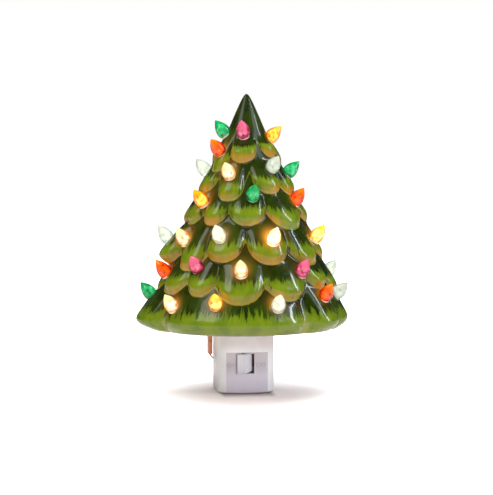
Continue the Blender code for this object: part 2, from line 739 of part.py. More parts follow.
def make_lamp(parts, brass, black_glass, solder, clear_glass, tungsten):
    place = (0, SOCKET_Y, 0)
    low = lamp_bottom()
    tip_top = low + LAMP_TIP_HEIGHT
    turned("lamp_contact_tip", [
        (0, tip_top), (LAMP_TIP_RADIUS, tip_top),
        *((LAMP_TIP_RADIUS * across, low + LAMP_TIP_HEIGHT * up) for across, up in LAMP_TIP_SHAPE),
        (0, low),
    ], 12, place, parts, solder)
    insulator_low = tip_top + GAP
    insulator_top = insulator_low + LAMP_INSULATOR_HEIGHT
    across, up = LAMP_INSULATOR_SHAPE
    turned("lamp_insulator", [
        (0, insulator_top), (LAMP_SHELL_RADIUS - LAMP_SHELL_WALL, insulator_top),
        (LAMP_SHELL_RADIUS * across, insulator_low + LAMP_INSULATOR_HEIGHT * up),
        (LAMP_TIP_RADIUS + LAMP_INSULATOR_RIM, insulator_low), (0, insulator_low),
    ], 16, place, parts, black_glass)
    shell_low = lamp_shell_bottom()
    shell_top = shell_low + LAMP_SHELL_HEIGHT
    inner = LAMP_SHELL_RADIUS - LAMP_SHELL_WALL
    turned("lamp_screw_shell", [
        (LAMP_SHELL_RADIUS, shell_top), (LAMP_SHELL_RADIUS, shell_low),
        (inner, shell_low), (inner, shell_top),
    ], 20, place, parts, brass, closed=True)
    outer = glass_profile(0.0, 9)
    cavity = glass_profile(LAMP_GLASS_WALL, 6)
    turned("lamp_glass", outer + cavity[::-1], 18, place, parts, clear_glass)

    stem_low = shell_low + 3 * GAP
    stem_top = shell_top + LAMP_STEM_HEIGHT / 2
    foot = LAMP_NECK_RADIUS - LAMP_GLASS_WALL - GAP
    head, neck, flare = LAMP_STEM_RADII
    turned("lamp_stem", [
        (0, stem_top), (head, stem_top), (neck, stem_top - LAMP_STEM_HEAD),
        (flare, stem_low + LAMP_STEM_HEIGHT), (foot, stem_low + LAMP_STEM_FOOT), (foot, stem_low),
        (0, stem_low),
    ], 12, place, parts, clear_glass)
    make_filament(stem_top, parts, tungsten)


def make_filament(stem_top, parts, tungsten):
    """The support wires and the arched filament between them, as one bent wire."""
    data = bpy.data.curves.new("lamp_filament", "CURVE")
    data.dimensions = "3D"
    data.bevel_depth = FILAMENT_WIRE * MM
    data.bevel_resolution = 1
    data.use_fill_caps = True
    foot = stem_top + GAP + FILAMENT_WIRE
    half = FILAMENT_HALF_WIDTH
    rise = FILAMENT_HEIGHT * FILAMENT_ARCH_SHARE
    spring = FILAMENT_HEIGHT - rise
    arch = [(half * math.cos(a), spring + rise * math.sin(a))
            for a in [math.pi * i / 8 for i in range(9)]]
    path = [(FILAMENT_FOOT_HALF, 0.0)] + arch + [(-FILAMENT_FOOT_HALF, 0.0)]
    spline = data.splines.new("POLY")
    spline.points.add(len(path) - 1)
    for point, (x, z) in zip(spline.points, path):
        point.co = (x * MM, SOCKET_Y * MM, (foot + z) * MM, 1.0)
    wire = bpy.data.objects.new("lamp_filament", data)
    data.materials.append(tungsten)
    parts.objects.link(wire)
    return wire


# Ceramic tree


def cone_radius(z):
    """Half width of the plain cone under the boughs: round at its tip, tucked in at its hem."""
    drop = max(tree_top() - z, 0.0)
    radius = math.sqrt((TREE_SLOPE * drop) ** 2 + 2 * TREE_TIP_ROUND * TREE_SLOPE * drop)
    above_hem = min((z - tree_base()) / HEM_HEIGHT, 1.0)
    return radius - HEM_TUCK * (1 - above_hem) ** 2


def bearing_gap(a, b):
    return (a - b + 180) % 360 - 180


def bough_edge(boughs, bearing):
    """Lower edge of a tier at a bearing: its height, the swell of the bough that stands there, and
    its fullness, from 1 at the bough's middle to 0 at its sides."""
    nearest = None
    for middle, half, low_level, swell in boughs:
        low = level_height(low_level)
        half_width = math.radians(half) * cone_radius(max(low, tree_base()))
        across = abs(bearing_gap(bearing, middle)) / half
        fullness = math.sqrt(max(1 - across * across, 0.0))
        rise = BOUGH_ROUNDING * (1 - fullness) + BOUGH_CLEFT * max(across - 1, 0.0)
        edge = low + half_width * rise
        if nearest is None or edge < nearest[0]:
            nearest = (edge, swell * max(1 - across ** BOUGH_ROUNDNESS, 0.0), fullness)
    return nearest


def tier_spans(bearing):
    """For each tier from the top at a bearing: where its fade starts, its upper end, its crest, its
    lower edge and its swell. The last tier goes down to the tree's underside."""
    spans = []
    above = level_height(TIERS[0][0])
    for level, boughs in TIERS:
        edge, swell, fullness = bough_edge(boughs, bearing)
        if boughs is TIERS[-1][1]:
            edge, fullness = tree_base(), 1.0
        crest = min(edge + max(UNDERSIDE_HEIGHT * fullness, UNDERSIDE_LEAST), above - LEAST_FACE)
        edge = min(edge, crest - UNDERSIDE_LEAST / 2)
        spans.append((max(level_height(level), crest + LEAST_FACE), above, crest, edge, swell))
        above = edge
    return spans


def span_swell(span, z):
    """How far a tier stands out from the cone: a bough swells from the tier's upper end down to its
    crest, then turns in under itself to its lower edge."""
    top, _, crest, edge, swell = span
    if z < crest:
        share = BOUGH_STEP + (1 - BOUGH_STEP) * math.sin((z - edge) / (crest - edge) * math.pi / 2)
    else:
        share = max(1 - (z - crest) / (top - crest), 0.0) ** BOUGH_FADE
    return swell * share


def tree_swell(bearing, z):
    """How far the glaze stands out from the cone at a bearing and height."""
    for span in tier_spans(bearing):
        if z > span[1]:
            return 0.0
        if z >= span[3]:
            return span_swell(span, z)
    return 0.0


def tree_point(bearing, z, out):
    """A point at a bearing and height that stands out from the cone by a distance."""
    angle = math.radians(bearing)
    radius = cone_radius(z)
    x = (radius + out) * math.sin(angle)
    y = TREE_AXIS_Y - (radius * TREE_DEPTH_SHARE + out) * math.cos(angle)
    return Vector((x, y, z))


def glaze_column(bearing):
    """Heights and swells down the tree at a bearing. The rows follow the boughs' rounded lower
    edges, with a ledge under each one."""
    column = [(tree_top() - depth, 0.0) for depth in TIP_RINGS]
    for span in tier_spans(bearing):
        _, above, crest, edge, _ = span
        start = above - LEDGE_DROP
        heights = [start + (crest - start) * share for share in FACE_ROWS]
        heights += [crest + (edge - crest) * share for share in UNDERSIDE_ROWS]
        column += [(z, span_swell(span, z)) for z in heights]
    return column


def hollow_column(bearing):
    """Heights down the smooth hollow, and how far it lies inside the cone."""
    roof = tree_top() - TREE_SOLID_TIP
    floor = tree_base() + TREE_FLOOR
    step = (roof - floor) / HOLLOW_RINGS
    return [(roof - step * i, -TREE_WALL) for i in range(HOLLOW_RINGS + 1)]


def sculpted(name, tip, column_at, columns, group):
    """A turned blank whose rings are pushed out to the places that column_at gives for each
    bearing. Its columns are drawn towards the front, where the boughs need them."""
    rings = len(column_at(0.0))
    numbered = [(1.0, -i) for i in range(rings)]
    blank = turned(name, [(0.0, 1.0)] + numbered + [(0.0, 1.0 - rings)], columns, (0, 0, 0), group)
    mesh = evaluated_mesh(blank)
    mesh.name = name
    bpy.data.objects.remove(blank, do_unlink=True)
    foot = column_at(0.0)[-1][0]
    made = {}
    for vertex in mesh.vertices:
        x, y, ring = vertex.co / MM
        if math.hypot(x, y) < 0.01:
            vertex.co = (0.0, TREE_AXIS_Y * MM, (tip if ring > 0 else foot) * MM)
            continue
        turn = math.atan2(x, -y)
        bearing = math.degrees(turn) - TREE_CROWDING * math.sin(turn)
        key = round(bearing, 3)
        if key not in made:
            made[key] = column_at(bearing)
        z, out = made[key][round(-ring)]
        vertex.co = tree_point(bearing, z, out) * MM
    return mesh


def pin_axis(bearing):
    """Direction of a pin light: square to the ellipse in plan, and raised."""
    angle = math.radians(bearing)
    flat = Vector((TREE_DEPTH_SHARE * math.sin(angle), -math.cos(angle), 0)).normalized()
    lift = math.radians(PIN_LIFT_ANGLE)
    return flat * math.cos(lift) + Vector((0, 0, math.sin(lift)))


def pin_frame(bearing, level):
    """Place of a pin light's shoulder, a little below the glaze, with its axis along local Z."""
    axis = pin_axis(bearing)
    z = level_height(level)
    seat = tree_point(bearing, z, tree_swell(bearing, z)) - axis * PIN_SEAT_DEPTH
    return Matrix.Translation(seat * MM) @ axis.to_track_quat("Z", "Y").to_matrix().to_4x4()


def pin_profile(clearance=0.0, reach=0.0):
    """Teardrop head, shoulder and stem. With a clearance it is the hole for them, open upwards."""
    widest = PIN_HEAD_RADIUS + clearance
    neck = PIN_STEM_RADIUS + clearance
    length = PIN_HEAD_LENGTH
    if clearance:
        head = [(0, length), (widest, length), (widest, length * PIN_HOLE_SHARE - clearance)]
    else:
        head = [(0, length)] + [(widest * across, length * up) for across, up in PIN_HEAD_SHAPE]
    across, up = PIN_SHOULDER_SHAPE
    shoulder = [(widest * across, length * up - clearance), (neck, -clearance)]
    return head + shoulder + [(neck, -PIN_STEM_LENGTH - reach), (0, -PIN_STEM_LENGTH - reach)]


def pin_mesh(name, group, clearance=0.0, reach=0.0):
    blank = turned(name, pin_profile(clearance, reach), PIN_SIDES, (0, 0, 0), group)
    mesh = evaluated_mesh(blank)
    mesh.name = name
    bpy.data.objects.remove(blank, do_unlink=True)
    return mesh


def make_tree(parts, cutters, holes, glaze):
    base, top = tree_base(), tree_top()
    floor = base + TREE_FLOOR
    mesh = sculpted("tree_shell", top, glaze_column, TREE_COLUMNS, parts)
    tree = add_object("tree_shell", mesh, parts, glaze)

    hollow_tip = top - TREE_SOLID_TIP + 1
    hollow = sculpted("tree_hollow", hollow_tip, hollow_column, TREE_COLUMNS // 2, cutters)
    boolean(tree, as_cutter(add_object("tree_hollow", hollow, cutters)))

    notch = LAMP_NOTCH_RADIUS
    notch_outline = arc((0, SOCKET_Y), notch, 180, 360, 13) + [(notch, 1.0), (-notch, 1.0)]
    cuts = {
        "wall_plane": box_mesh("wall_plane", (-90, TREE_BACK_Y, base - 5), (90, 90, top + 5)),
        "lamp_notch": prism_mesh("lamp_notch", notch_outline, base - 1, floor + 1),
    }
    reach = CLIP_THICKNESS / 2 + GAP
    for name, path in clip_legs().items():
        middle = path[0][0]
        cuts[f"{name}_notch"] = box_mesh(
            f"{name}_notch", (middle - reach, CLIP_BACK_Y - CLIP_STRIP_WIDTH - GAP, base - 1),
            (middle + reach, 1.0, floor + 1),
        )
    for name, shape in cuts.items():
        boolean(tree, as_cutter(add_object(name, shape, cutters)))

    hole = pin_mesh("pin_hole", cutters, GAP, PIN_HOLE_REACH)
    for number, (_, bearing, level) in enumerate(PINS, 1):
        cutter = as_cutter(add_object(f"pin_hole_{number:02d}", hole, holes))
        cutter.matrix_world = pin_frame(bearing, level)
    drill = tree.modifiers.new("pin_holes", "BOOLEAN")
    drill.operation = "DIFFERENCE"
    drill.operand_type = "COLLECTION"
    drill.collection = holes
    return tree


def make_pins(parts, finishes):
    shapes = {}
    pins = []
    for number, (colour, bearing, level) in enumerate(PINS, 1):
        if colour not in shapes:
            shapes[colour] = pin_mesh(f"pin_{colour}", parts)
            shapes[colour].materials.append(finishes[colour])
            shapes[colour].shade_smooth()
        pin = bpy.data.objects.new(f"pin_{number:02d}_{colour}", shapes[colour])
        parts.objects.link(pin)
        pin.matrix_world = pin_frame(bearing, level)
        pins.append(pin)
    return pins


def clip_band_height():
    """Underside of the clip's band, which lies on the tree's floor."""
    return tree_base() + TREE_FLOOR + GAP


def clip_legs():
    """Paths of the clip's two legs, seen from the front: the left one is sprung away from the
    housing and turns in to a toe that bears on it, and the right one lies flat on its side."""
    top = clip_band_height() + CLIP_THICKNESS - CLIP_JOIN_INSET
    bearing = HOUSING_HALF_WIDTH + GAP + CLIP_THICKNESS / 2
    toe = bearing + CLIP_THICKNESS * CLIP_BEND_ROOM
    return {
        "left_clip_leg": [(-CLIP_LEG_X, top), (-CLIP_LEG_X, CLIP_BEND_Z), (-toe, CLIP_TOE_Z)],
        "right_clip_leg": [(bearing, top), (bearing, CLIP_TOE_Z)],
    }


def make_clip(parts, cutters, copper):
    """A horseshoe band on the tree's floor, with two legs that reach down and grip the housing."""
    low = clip_band_height()
    outer = CLIP_LEG_X + CLIP_THICKNESS / 2 + CLIP_BAND_MARGIN
    inner = HOUSING_HALF_WIDTH + GAP - CLIP_BAND_MARGIN
    outline = [(-outer, CLIP_BACK_Y)] + arc((0, SOCKET_Y), outer, 180, 360, 20)
    outline += [(outer, CLIP_BACK_Y), (inner, CLIP_BACK_Y)]
    outline += arc((0, SOCKET_Y), inner, 360, 180, 20) + [(-inner, CLIP_BACK_Y)]
    clip = add_object(
        "shade_clip", prism_mesh("shade_clip", outline, low, low + CLIP_THICKNESS), parts, copper
    )
    for name, path in clip_legs().items():
        leg = prism_mesh(
            name, bent_strip(path, CLIP_THICKNESS),
            CLIP_BACK_Y - CLIP_STRIP_WIDTH, CLIP_BACK_Y - CLIP_LEG_INSET, "XZ",
        )
        boolean(clip, as_cutter(add_object(name, leg, cutters)), "UNION")
    return clip


def hang_from(name, place, group, items):
    """Parents items to an empty on their joint's axis, and leaves them where they are."""
    empty = bpy.data.objects.new(name, None)
    empty.location = [v * MM for v in place]
    group.objects.link(empty)
    bpy.context.view_layer.update()
    for item in items:
        item.parent = empty
        item.matrix_parent_inverse = empty.matrix_world.inverted()


def main():
    clear_scene()
    parts = make_collection("tree_night_light")
    cutters = make_collection("cutters")
    holes = make_collection("pin_holes")

    white = make_material("white_plastic", (0.78, 0.75, 0.77), 0.35)
    brass = make_material("brass", (0.76, 0.58, 0.28), 0.3, 1.0)
    steel = make_material("plated_steel", (0.72, 0.72, 0.73), 0.3, 1.0)
    copper = make_material("copper_spring", (0.85, 0.5, 0.33), 0.3, 1.0)
    glaze = make_material("green_glaze", (0.10, 0.19, 0.02), 0.12)
    clear = make_material("clear_glass", (0.95, 0.96, 0.95), 0.05, 0.0, 1.0)
    black = make_material("black_glass", (0.02, 0.02, 0.02), 0.2)
    solder = make_material("solder", (0.6, 0.6, 0.6), 0.4, 1.0)
    tungsten = make_material("tungsten", (0.35, 0.33, 0.3), 0.4, 1.0)
    colours = {
        "green": (0.0, 0.45, 0.16), "pink": (0.85, 0.08, 0.3), "amber": (0.95, 0.5, 0.05),
        "red": (0.85, 0.08, 0.02), "clear": (0.85, 0.9, 0.87), "white": (0.98, 0.85, 0.7),
        "orange": (0.95, 0.35, 0.03), "yellow": (0.98, 0.75, 0.08),
    }
    tints = {
        name: make_material(f"{name}_pin", colour, 0.15, 0.0, 0.6) for name, colour in colours.items()
    }

    make_front_housing(parts, cutters, white)
    make_rear_cover(parts, cutters, white)
    make_cover_screw(parts, steel)
    make_rocker(parts, cutters, white)
    make_blade("blade_neutral", -1, BLADE_NEUTRAL_WIDTH, parts, cutters, brass)
    make_blade("blade_hot", 1, BLADE_HOT_WIDTH, parts, cutters, brass)
    make_strips(parts, brass)
    make_socket(parts, cutters, white, brass)
    make_lamp(parts, brass, black, solder, clear, tungsten)
    tree = make_tree(parts, cutters, holes, glaze)
    pins = make_pins(parts, tints)
    clip = make_clip(parts, cutters, copper)
    hang_from("tree_lift", (0, TREE_AXIS_Y, tree_base()), parts, [tree, clip, *pins])


main()
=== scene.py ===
"""Looks of a plug-in night light: a glazed ceramic tree with pin lights on a small switched housing.

Angles are degrees, and lengths in the dataclasses are millimetres unless their docstring says metres,
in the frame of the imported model: +Z is up, the tree faces -Y, and y = 0 is the wall. Finished meshes
are in metres. The size of a noise is its number of cells in a metre, and a span says where a soft
step starts and where it is full.
"""

from __future__ import annotations

import json
import logging
import math
from collections.abc import Iterable, Sequence
from dataclasses import dataclass, field
from enum import Enum

import bmesh
import bpy
import numpy as np
from mathutils import Matrix, Vector
from mathutils.kdtree import KDTree

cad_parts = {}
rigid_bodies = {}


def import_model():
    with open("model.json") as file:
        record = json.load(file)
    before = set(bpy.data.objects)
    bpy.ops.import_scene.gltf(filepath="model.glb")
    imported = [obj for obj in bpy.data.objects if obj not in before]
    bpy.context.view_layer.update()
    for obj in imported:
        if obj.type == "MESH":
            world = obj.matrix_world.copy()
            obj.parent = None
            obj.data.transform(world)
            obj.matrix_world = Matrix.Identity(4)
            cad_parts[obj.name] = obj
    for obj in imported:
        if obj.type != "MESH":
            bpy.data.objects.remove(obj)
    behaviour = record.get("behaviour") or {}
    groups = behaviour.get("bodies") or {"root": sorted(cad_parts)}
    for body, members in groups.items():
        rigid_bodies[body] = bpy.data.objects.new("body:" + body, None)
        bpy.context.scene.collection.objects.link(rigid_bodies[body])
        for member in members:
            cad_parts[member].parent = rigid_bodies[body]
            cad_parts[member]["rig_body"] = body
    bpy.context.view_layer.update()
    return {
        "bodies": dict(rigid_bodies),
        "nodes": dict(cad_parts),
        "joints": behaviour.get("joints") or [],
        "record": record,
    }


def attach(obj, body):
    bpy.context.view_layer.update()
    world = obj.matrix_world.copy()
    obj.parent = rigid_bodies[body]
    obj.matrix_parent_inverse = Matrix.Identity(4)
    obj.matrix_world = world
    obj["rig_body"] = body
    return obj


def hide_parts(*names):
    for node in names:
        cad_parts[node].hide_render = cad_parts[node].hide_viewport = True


log = logging.getLogger("night_light")

Colour = tuple[float, float, float, float]
Place = tuple[float, float, float]
Span = tuple[float, float]

MM = 0.001
EVEN_SPAN: Span = (0.3, 0.7)
MILKY_DEPTHS: Place = (0.0015, 0.0012, 0.001)


def linear(code: str) -> Colour:
    """Turns a display colour into the linear colour that a shader takes.

    Args:
        code: Six hexadecimal digits, such as "8aa03c".

    Returns:
        Red, green, blue and a full alpha.
    """
    shares = [int(code[i:i + 2], 16) / 255 for i in (0, 2, 4)]
    red, green, blue = [s / 12.92 if s <= 0.04045 else ((s + 0.055) / 1.055) ** 2.4 for s in shares]
    return red, green, blue, 1.0


class Light(Enum):
    """How much a pin light shows of the lamp behind it."""

    DARK = 0.06
    DIM = 0.15
    LIT = 0.4
    BLAZING = 1.6


class Solid(Enum):
    """How one closed shape changes another."""

    CUT = "DIFFERENCE"
    JOIN = "UNION"


class Nodes:
    """A node tree while it is built."""

    def __init__(self, tree: bpy.types.NodeTree) -> None:
        """Takes a tree and empties it."""
        self.tree = tree
        tree.nodes.clear()

    def feed(self, socket: bpy.types.NodeSocket, value: object) -> None:
        """Sets a socket, or links an output to it.

        Args:
            socket: The socket.
            value: An output, or the value itself, where a colour may be six hexadecimal digits.
        """
        source = value.socket if isinstance(value, Amount) else value
        if isinstance(source, bpy.types.NodeSocket):
            self.tree.links.new(source, socket)
        elif isinstance(source, str) and socket.type == "RGBA":
            socket.default_value = linear(source)
        else:
            socket.default_value = source

    def add(self, kind: str, inputs: dict | None = None, **settings: object) -> bpy.types.Node:
        """Adds a node.

        Args:
            kind: The node's type name.
            inputs: Values or outputs for its inputs, by name or index.
            settings: The node's own properties.

        Returns:
            The new node.
        """
        node = self.tree.nodes.new(kind)
        for name, value in settings.items():
            setattr(node, name, value)
        for key, value in (inputs or {}).items():
            self.feed(node.inputs[key], value)
        return node

    def amount(
        self, kind: str, output: str | int, inputs: dict | None = None, **settings: object
    ) -> Amount:
        """Adds a node, and gives one of its outputs as a number to reckon with."""
        return Amount(self, self.add(kind, inputs, **settings).outputs[output])

    def maths(self, operation: str, *terms: object) -> Amount:
        """Adds one step of arithmetic on numbers or outputs."""
        return self.amount("ShaderNodeMath", 0, dict(enumerate(terms)), operation=operation)


@dataclass(frozen=True)
class Amount:
    """A number that a node gives out. Arithmetic on it adds the nodes for the result."""

    nodes: Nodes
    socket: bpy.types.NodeSocket

    def __add__(self, other: object) -> Amount:
        """The sum."""
        return self.nodes.maths("ADD", self, other)

    def __sub__(self, other: object) -> Amount:
        """This number less the other."""
        return self.nodes.maths("SUBTRACT", self, other)

    def __rsub__(self, other: object) -> Amount:
        """The other number less this one."""
        return self.nodes.maths("SUBTRACT", other, self)

    def __mul__(self, other: object) -> Amount:
        """The product."""
        return self.nodes.maths("MULTIPLY", self, other)

    def __truediv__(self, other: object) -> Amount:
        """This number as a share of the other."""
        return self.nodes.maths("DIVIDE", self, other)

    def __pow__(self, other: object) -> Amount:
        """This number to a power."""
        return self.nodes.maths("POWER", self, other)

    def __lt__(self, other: object) -> Amount:
        """1 where this number is less than the other, and 0 elsewhere."""
        return self.nodes.maths("LESS_THAN", self, other)

    def __gt__(self, other: object) -> Amount:
        """1 where this number is more than the other, and 0 elsewhere."""
        return self.nodes.maths("GREATER_THAN", self, other)

    def __abs__(self) -> Amount:
        """This number without its sign."""
        return self.nodes.maths("ABSOLUTE", self)

    def root(self) -> Amount:
        """The square root."""
        return self.nodes.maths("SQRT", self)

    def or_more(self, other: object) -> Amount:
        """The greater of both."""
        return self.nodes.maths("MAXIMUM", self, other)

    def or_less(self, other: object) -> Amount:
        """The lesser of both."""
        return self.nodes.maths("MINIMUM", self, other)

    def step(self, low: float, high: float) -> Amount:
        """Rises smoothly from 0 to 1 as this number goes from low to high."""
        inputs = {"Value": self, "From Min": low, "From Max": high}
        return self.nodes.amount("ShaderNodeMapRange", 0, inputs, interpolation_type="SMOOTHSTEP")


class Pattern(Nodes):
    """A material while it is built, with a Principled shader at its end."""

    def __init__(self, name: str) -> None:
        """Starts an empty material with its shader and output.

        Args:
            name: Name of the new material.
        """
        self.material = bpy.data.materials.new(name)
        self.material.use_nodes = True
        super().__init__(self.material.node_tree)
        self.shader = self.add("ShaderNodeBsdfPrincipled")
        self.add("ShaderNodeOutputMaterial", {"Surface": self.shader.outputs["BSDF"]})

    def set(self, inputs: dict[str, object]) -> None:
        """Sets or links the shader's own inputs."""
        for name, value in inputs.items():
            self.feed(self.shader.inputs[name], value)

    def place(self, scale: Place = (1.0, 1.0, 1.0)) -> bpy.types.NodeSocket:
        """Object coordinates in metres, scaled along each axis."""
        source = self.add("ShaderNodeTexCoord").outputs["Object"]
        return self.add("ShaderNodeMapping", {"Vector": source, "Scale": scale}).outputs["Vector"]

    def position(self, scale: float = 1.0) -> tuple[Amount, ...]:
        """Object coordinates in metres, scaled, as three numbers."""
        parts = self.add("ShaderNodeSeparateXYZ", {0: self.place((scale, scale, scale))}).outputs
        return tuple(Amount(self, parts[axis]) for axis in "XYZ")

    def vector(self, operation: str, *terms: object) -> bpy.types.NodeSocket:
        """Adds one step of arithmetic on coordinates."""
        return self.add("ShaderNodeVectorMath", dict(enumerate(terms)), operation=operation).outputs[0]

    def noise(
        self, vector: bpy.types.NodeSocket, size: float, detail: float = 2.0, rough: float = 0.5
    ) -> Amount:
        """Cloudy noise from 0 to 1 on a set of coordinates."""
        inputs = {"Vector": vector, "Scale": size, "Detail": detail, "Roughness": rough}
        return self.amount("ShaderNodeTexNoise", "Fac", inputs)

    def named(self, attribute: str) -> Amount:
        """The piece's own attribute."""
        return self.amount("ShaderNodeAttribute", "Fac", attribute_name=attribute)

    def mix(self, share: object, first: object, second: object) -> bpy.types.NodeSocket:
        """Blends two colours by a share from 0 to 1."""
        return self.add("ShaderNodeMix", {0: share, 6: first, 7: second}, data_type="RGBA").outputs[2]

    def bump(self, height: Amount, depth: float, strength: float) -> None:
        """Makes the surface uneven by a height from 0 to 1, with its depth in millimetres."""
        inputs = {"Height": height, "Distance": depth * MM, "Strength": strength}
        self.set({"Normal": self.add("ShaderNodeBump", inputs).outputs["Normal"]})


@dataclass(frozen=True)
class GlazeFinish:
    """Green glaze that runs thin over the edges and lies dark in the hollows, with painted light on it:
    painted warm pin light on its undersides and near the pins, where it also glows a little. The tree's
    axis and mean girth are in metres."""

    deep: str = "192403"
    body: str = "2b3a05"
    olive: str = "46580a"
    tip: str = "6c8014"
    moss: str = "5c7210"
    ochre: str = "b07a18"
    bare: str = "c4a67c"
    painted_pin_light: str = "c98a2c"
    lamplight: str = "ff8a2a"
    axis_y: float = -0.022
    depth_share: float = 0.78
    girth: float = 0.045
    stroke_size: float = 620.0
    stroke_run: float = 0.16
    stroke_jag: float = 0.85
    fine_size: float = 1500.0
    fine_run: float = 0.10
    fine_jag: float = 0.55
    moss_size: float = 160.0
    moss_run: float = 0.5
    cloud_size: float = 70.0
    patch_size: float = 38.0
    patch_stretch: Place = (1.0, 1.0, 0.7)
    wave_size: float = 160.0
    dark_span: Span = (0.35, 0.7)
    moss_span: Span = (0.35, 0.65)
    olive_span: Span = (0.45, 0.95)
    patch_span: Span = (0.34, 0.52)
    light_span: Span = (0.63, 0.78)
    streak_span: Span = (0.55, 0.8)
    streak_share: float = 0.35
    stroke_relief: float = 0.35
    lip_span: Span = (0.25, 0.6)
    lip_share: float = 0.25
    painted_pin_light_span: Span = (0.12, 0.9)
    glow_span: Span = (0.35, 1.6)
    glow_strength: float = 0.45
    roughness: float = 0.16
    roughness_spread: float = 0.12

    def combed(self, mat: Pattern, run: float) -> bpy.types.NodeSocket:
        """Coordinates that change round the tree but hardly down it, for brush strokes.

        Args:
            mat: The material.
            run: Share of the height that is left in the coordinates.

        Returns:
            The coordinates, in metres at the tree's mean girth.
        """
        centred = mat.vector("ADD", mat.place(), (0.0, -self.axis_y, 0.0))
        flat = mat.vector("MULTIPLY", centred, (1.0, 1.0 / self.depth_share, 0.0))
        ring = mat.vector("NORMALIZE", flat)
        girth = (self.girth, self.girth, 0.0)
        return mat.vector("MULTIPLY_ADD", ring, girth, mat.place((0.0, 0.0, run)))

    def build(self) -> bpy.types.Material:
        """Builds the material, which reads the tree's attributes reach, lens, lip and glow.

        Returns:
            The new material.
        """
        mat = Pattern("green_glaze")
        strokes = mat.noise(self.combed(mat, self.stroke_run), self.stroke_size, 3.0, 0.6)
        fine = mat.noise(self.combed(mat, self.fine_run), self.fine_size, 2.0, 0.6)
        moss = mat.noise(self.combed(mat, self.moss_run), self.moss_size)
        cloud = mat.noise(mat.place(), self.cloud_size)
        patch = mat.noise(mat.place(self.patch_stretch), self.patch_size, 1.0)
        reach, glow = mat.named("reach"), mat.named("glow")
        jag = (strokes - 0.5) * self.stroke_jag + (fine - 0.5) * self.fine_jag
        dark = mat.mix(cloud.step(*self.dark_span), self.deep, self.body)
        green = mat.mix(moss.step(*self.moss_span), self.tip, self.moss)
        light = mat.mix(reach.step(*self.olive_span), self.olive, green)
        # Painted warm light: on the undersides (lens) patches turn ochre, standing in for the pins' light
        # reflected there.
        warm = mat.mix(patch.step(*self.patch_span), light, self.ochre)
        light = mat.mix(mat.named("lens"), light, warm)
        shade = mat.mix((reach + jag).step(*self.light_span), dark, light)
        shade = mat.mix(fine.step(*self.streak_span) * self.streak_share, shade, self.body)
        lip = mat.named("lip") * cloud.step(*self.lip_span)
        shade = mat.mix(lip * self.lip_share, shade, self.bare)
        # Painted pin light: the colour turns orange and the glaze glows where the pins' light falls
        # (glow).
        mat.set({
            "Base Color": mat.mix(glow.step(*self.painted_pin_light_span), shade, self.painted_pin_light),
            "Roughness": cloud * self.roughness_spread + self.roughness,
            "Specular IOR Level": 0.2,
            "Coat Weight": 0.5,
            "Coat Roughness": 0.04,
            "Emission Color": self.lamplight,
            "Emission Strength": glow.step(*self.glow_span) * self.glow_strength,
        })
        wave = mat.noise(mat.place(), self.wave_size, 1.0)
        mat.bump(wave + strokes * self.stroke_relief, depth=0.5, strength=0.55)
        return mat.material


@dataclass(frozen=True)
class ClayFinish:
    """Bare cream clay inside the tree and on its cut faces."""

    light: str = "e6dcc8"
    dark: str = "c9bb9f"
    cloud_size: float = 90.0
    speck_size: float = 2600.0
    speck_share: float = 0.25

    def build(self) -> bpy.types.Material:
        """Builds the material: chalky, with faint specks and tool marks.

        Returns:
            The new material.
        """
        mat = Pattern("bare_clay")
        cloud = mat.noise(mat.place(), self.cloud_size, 4.0, 0.6)
        specks = mat.noise(mat.place(), self.speck_size)
        mat.set({
            "Base Color": mat.mix(cloud.step(*EVEN_SPAN), self.light, self.dark),
            "Roughness": 0.85,
        })
        mat.bump(cloud + specks * self.speck_share, depth=0.25, strength=0.6)
        return mat.material


@dataclass(frozen=True)
class PlasticFinish:
    """Moulded plastic with a faint surface wave and slight unevenness of colour and gloss."""

    name: str
    colour: str
    shade: str
    roughness: float
    gloss: float
    cloud_size: float = 45.0
    grain_size: float = 4200.0
    smear_size: float = 300.0
    smear_spread: float = 0.08

    def build(self) -> bpy.types.Material:
        """Builds the material.

        Returns:
            The new material.
        """
        mat = Pattern(self.name)
        cloud = mat.noise(mat.place(), self.cloud_size)
        grain = mat.noise(mat.place(), self.grain_size)
        smears = mat.noise(mat.place(), self.smear_size, 3.0)
        mat.set({
            "Base Color": mat.mix(cloud.step(*EVEN_SPAN), self.colour, self.shade),
            "Roughness": smears * self.smear_spread + self.roughness,
            "Coat Weight": self.gloss,
            "Coat Roughness": 0.12,
            "Subsurface Weight": 0.08,
            "Subsurface Radius": MILKY_DEPTHS,
        })
        mat.bump(cloud + grain * 0.08, depth=0.08, strength=0.5)
        return mat.material


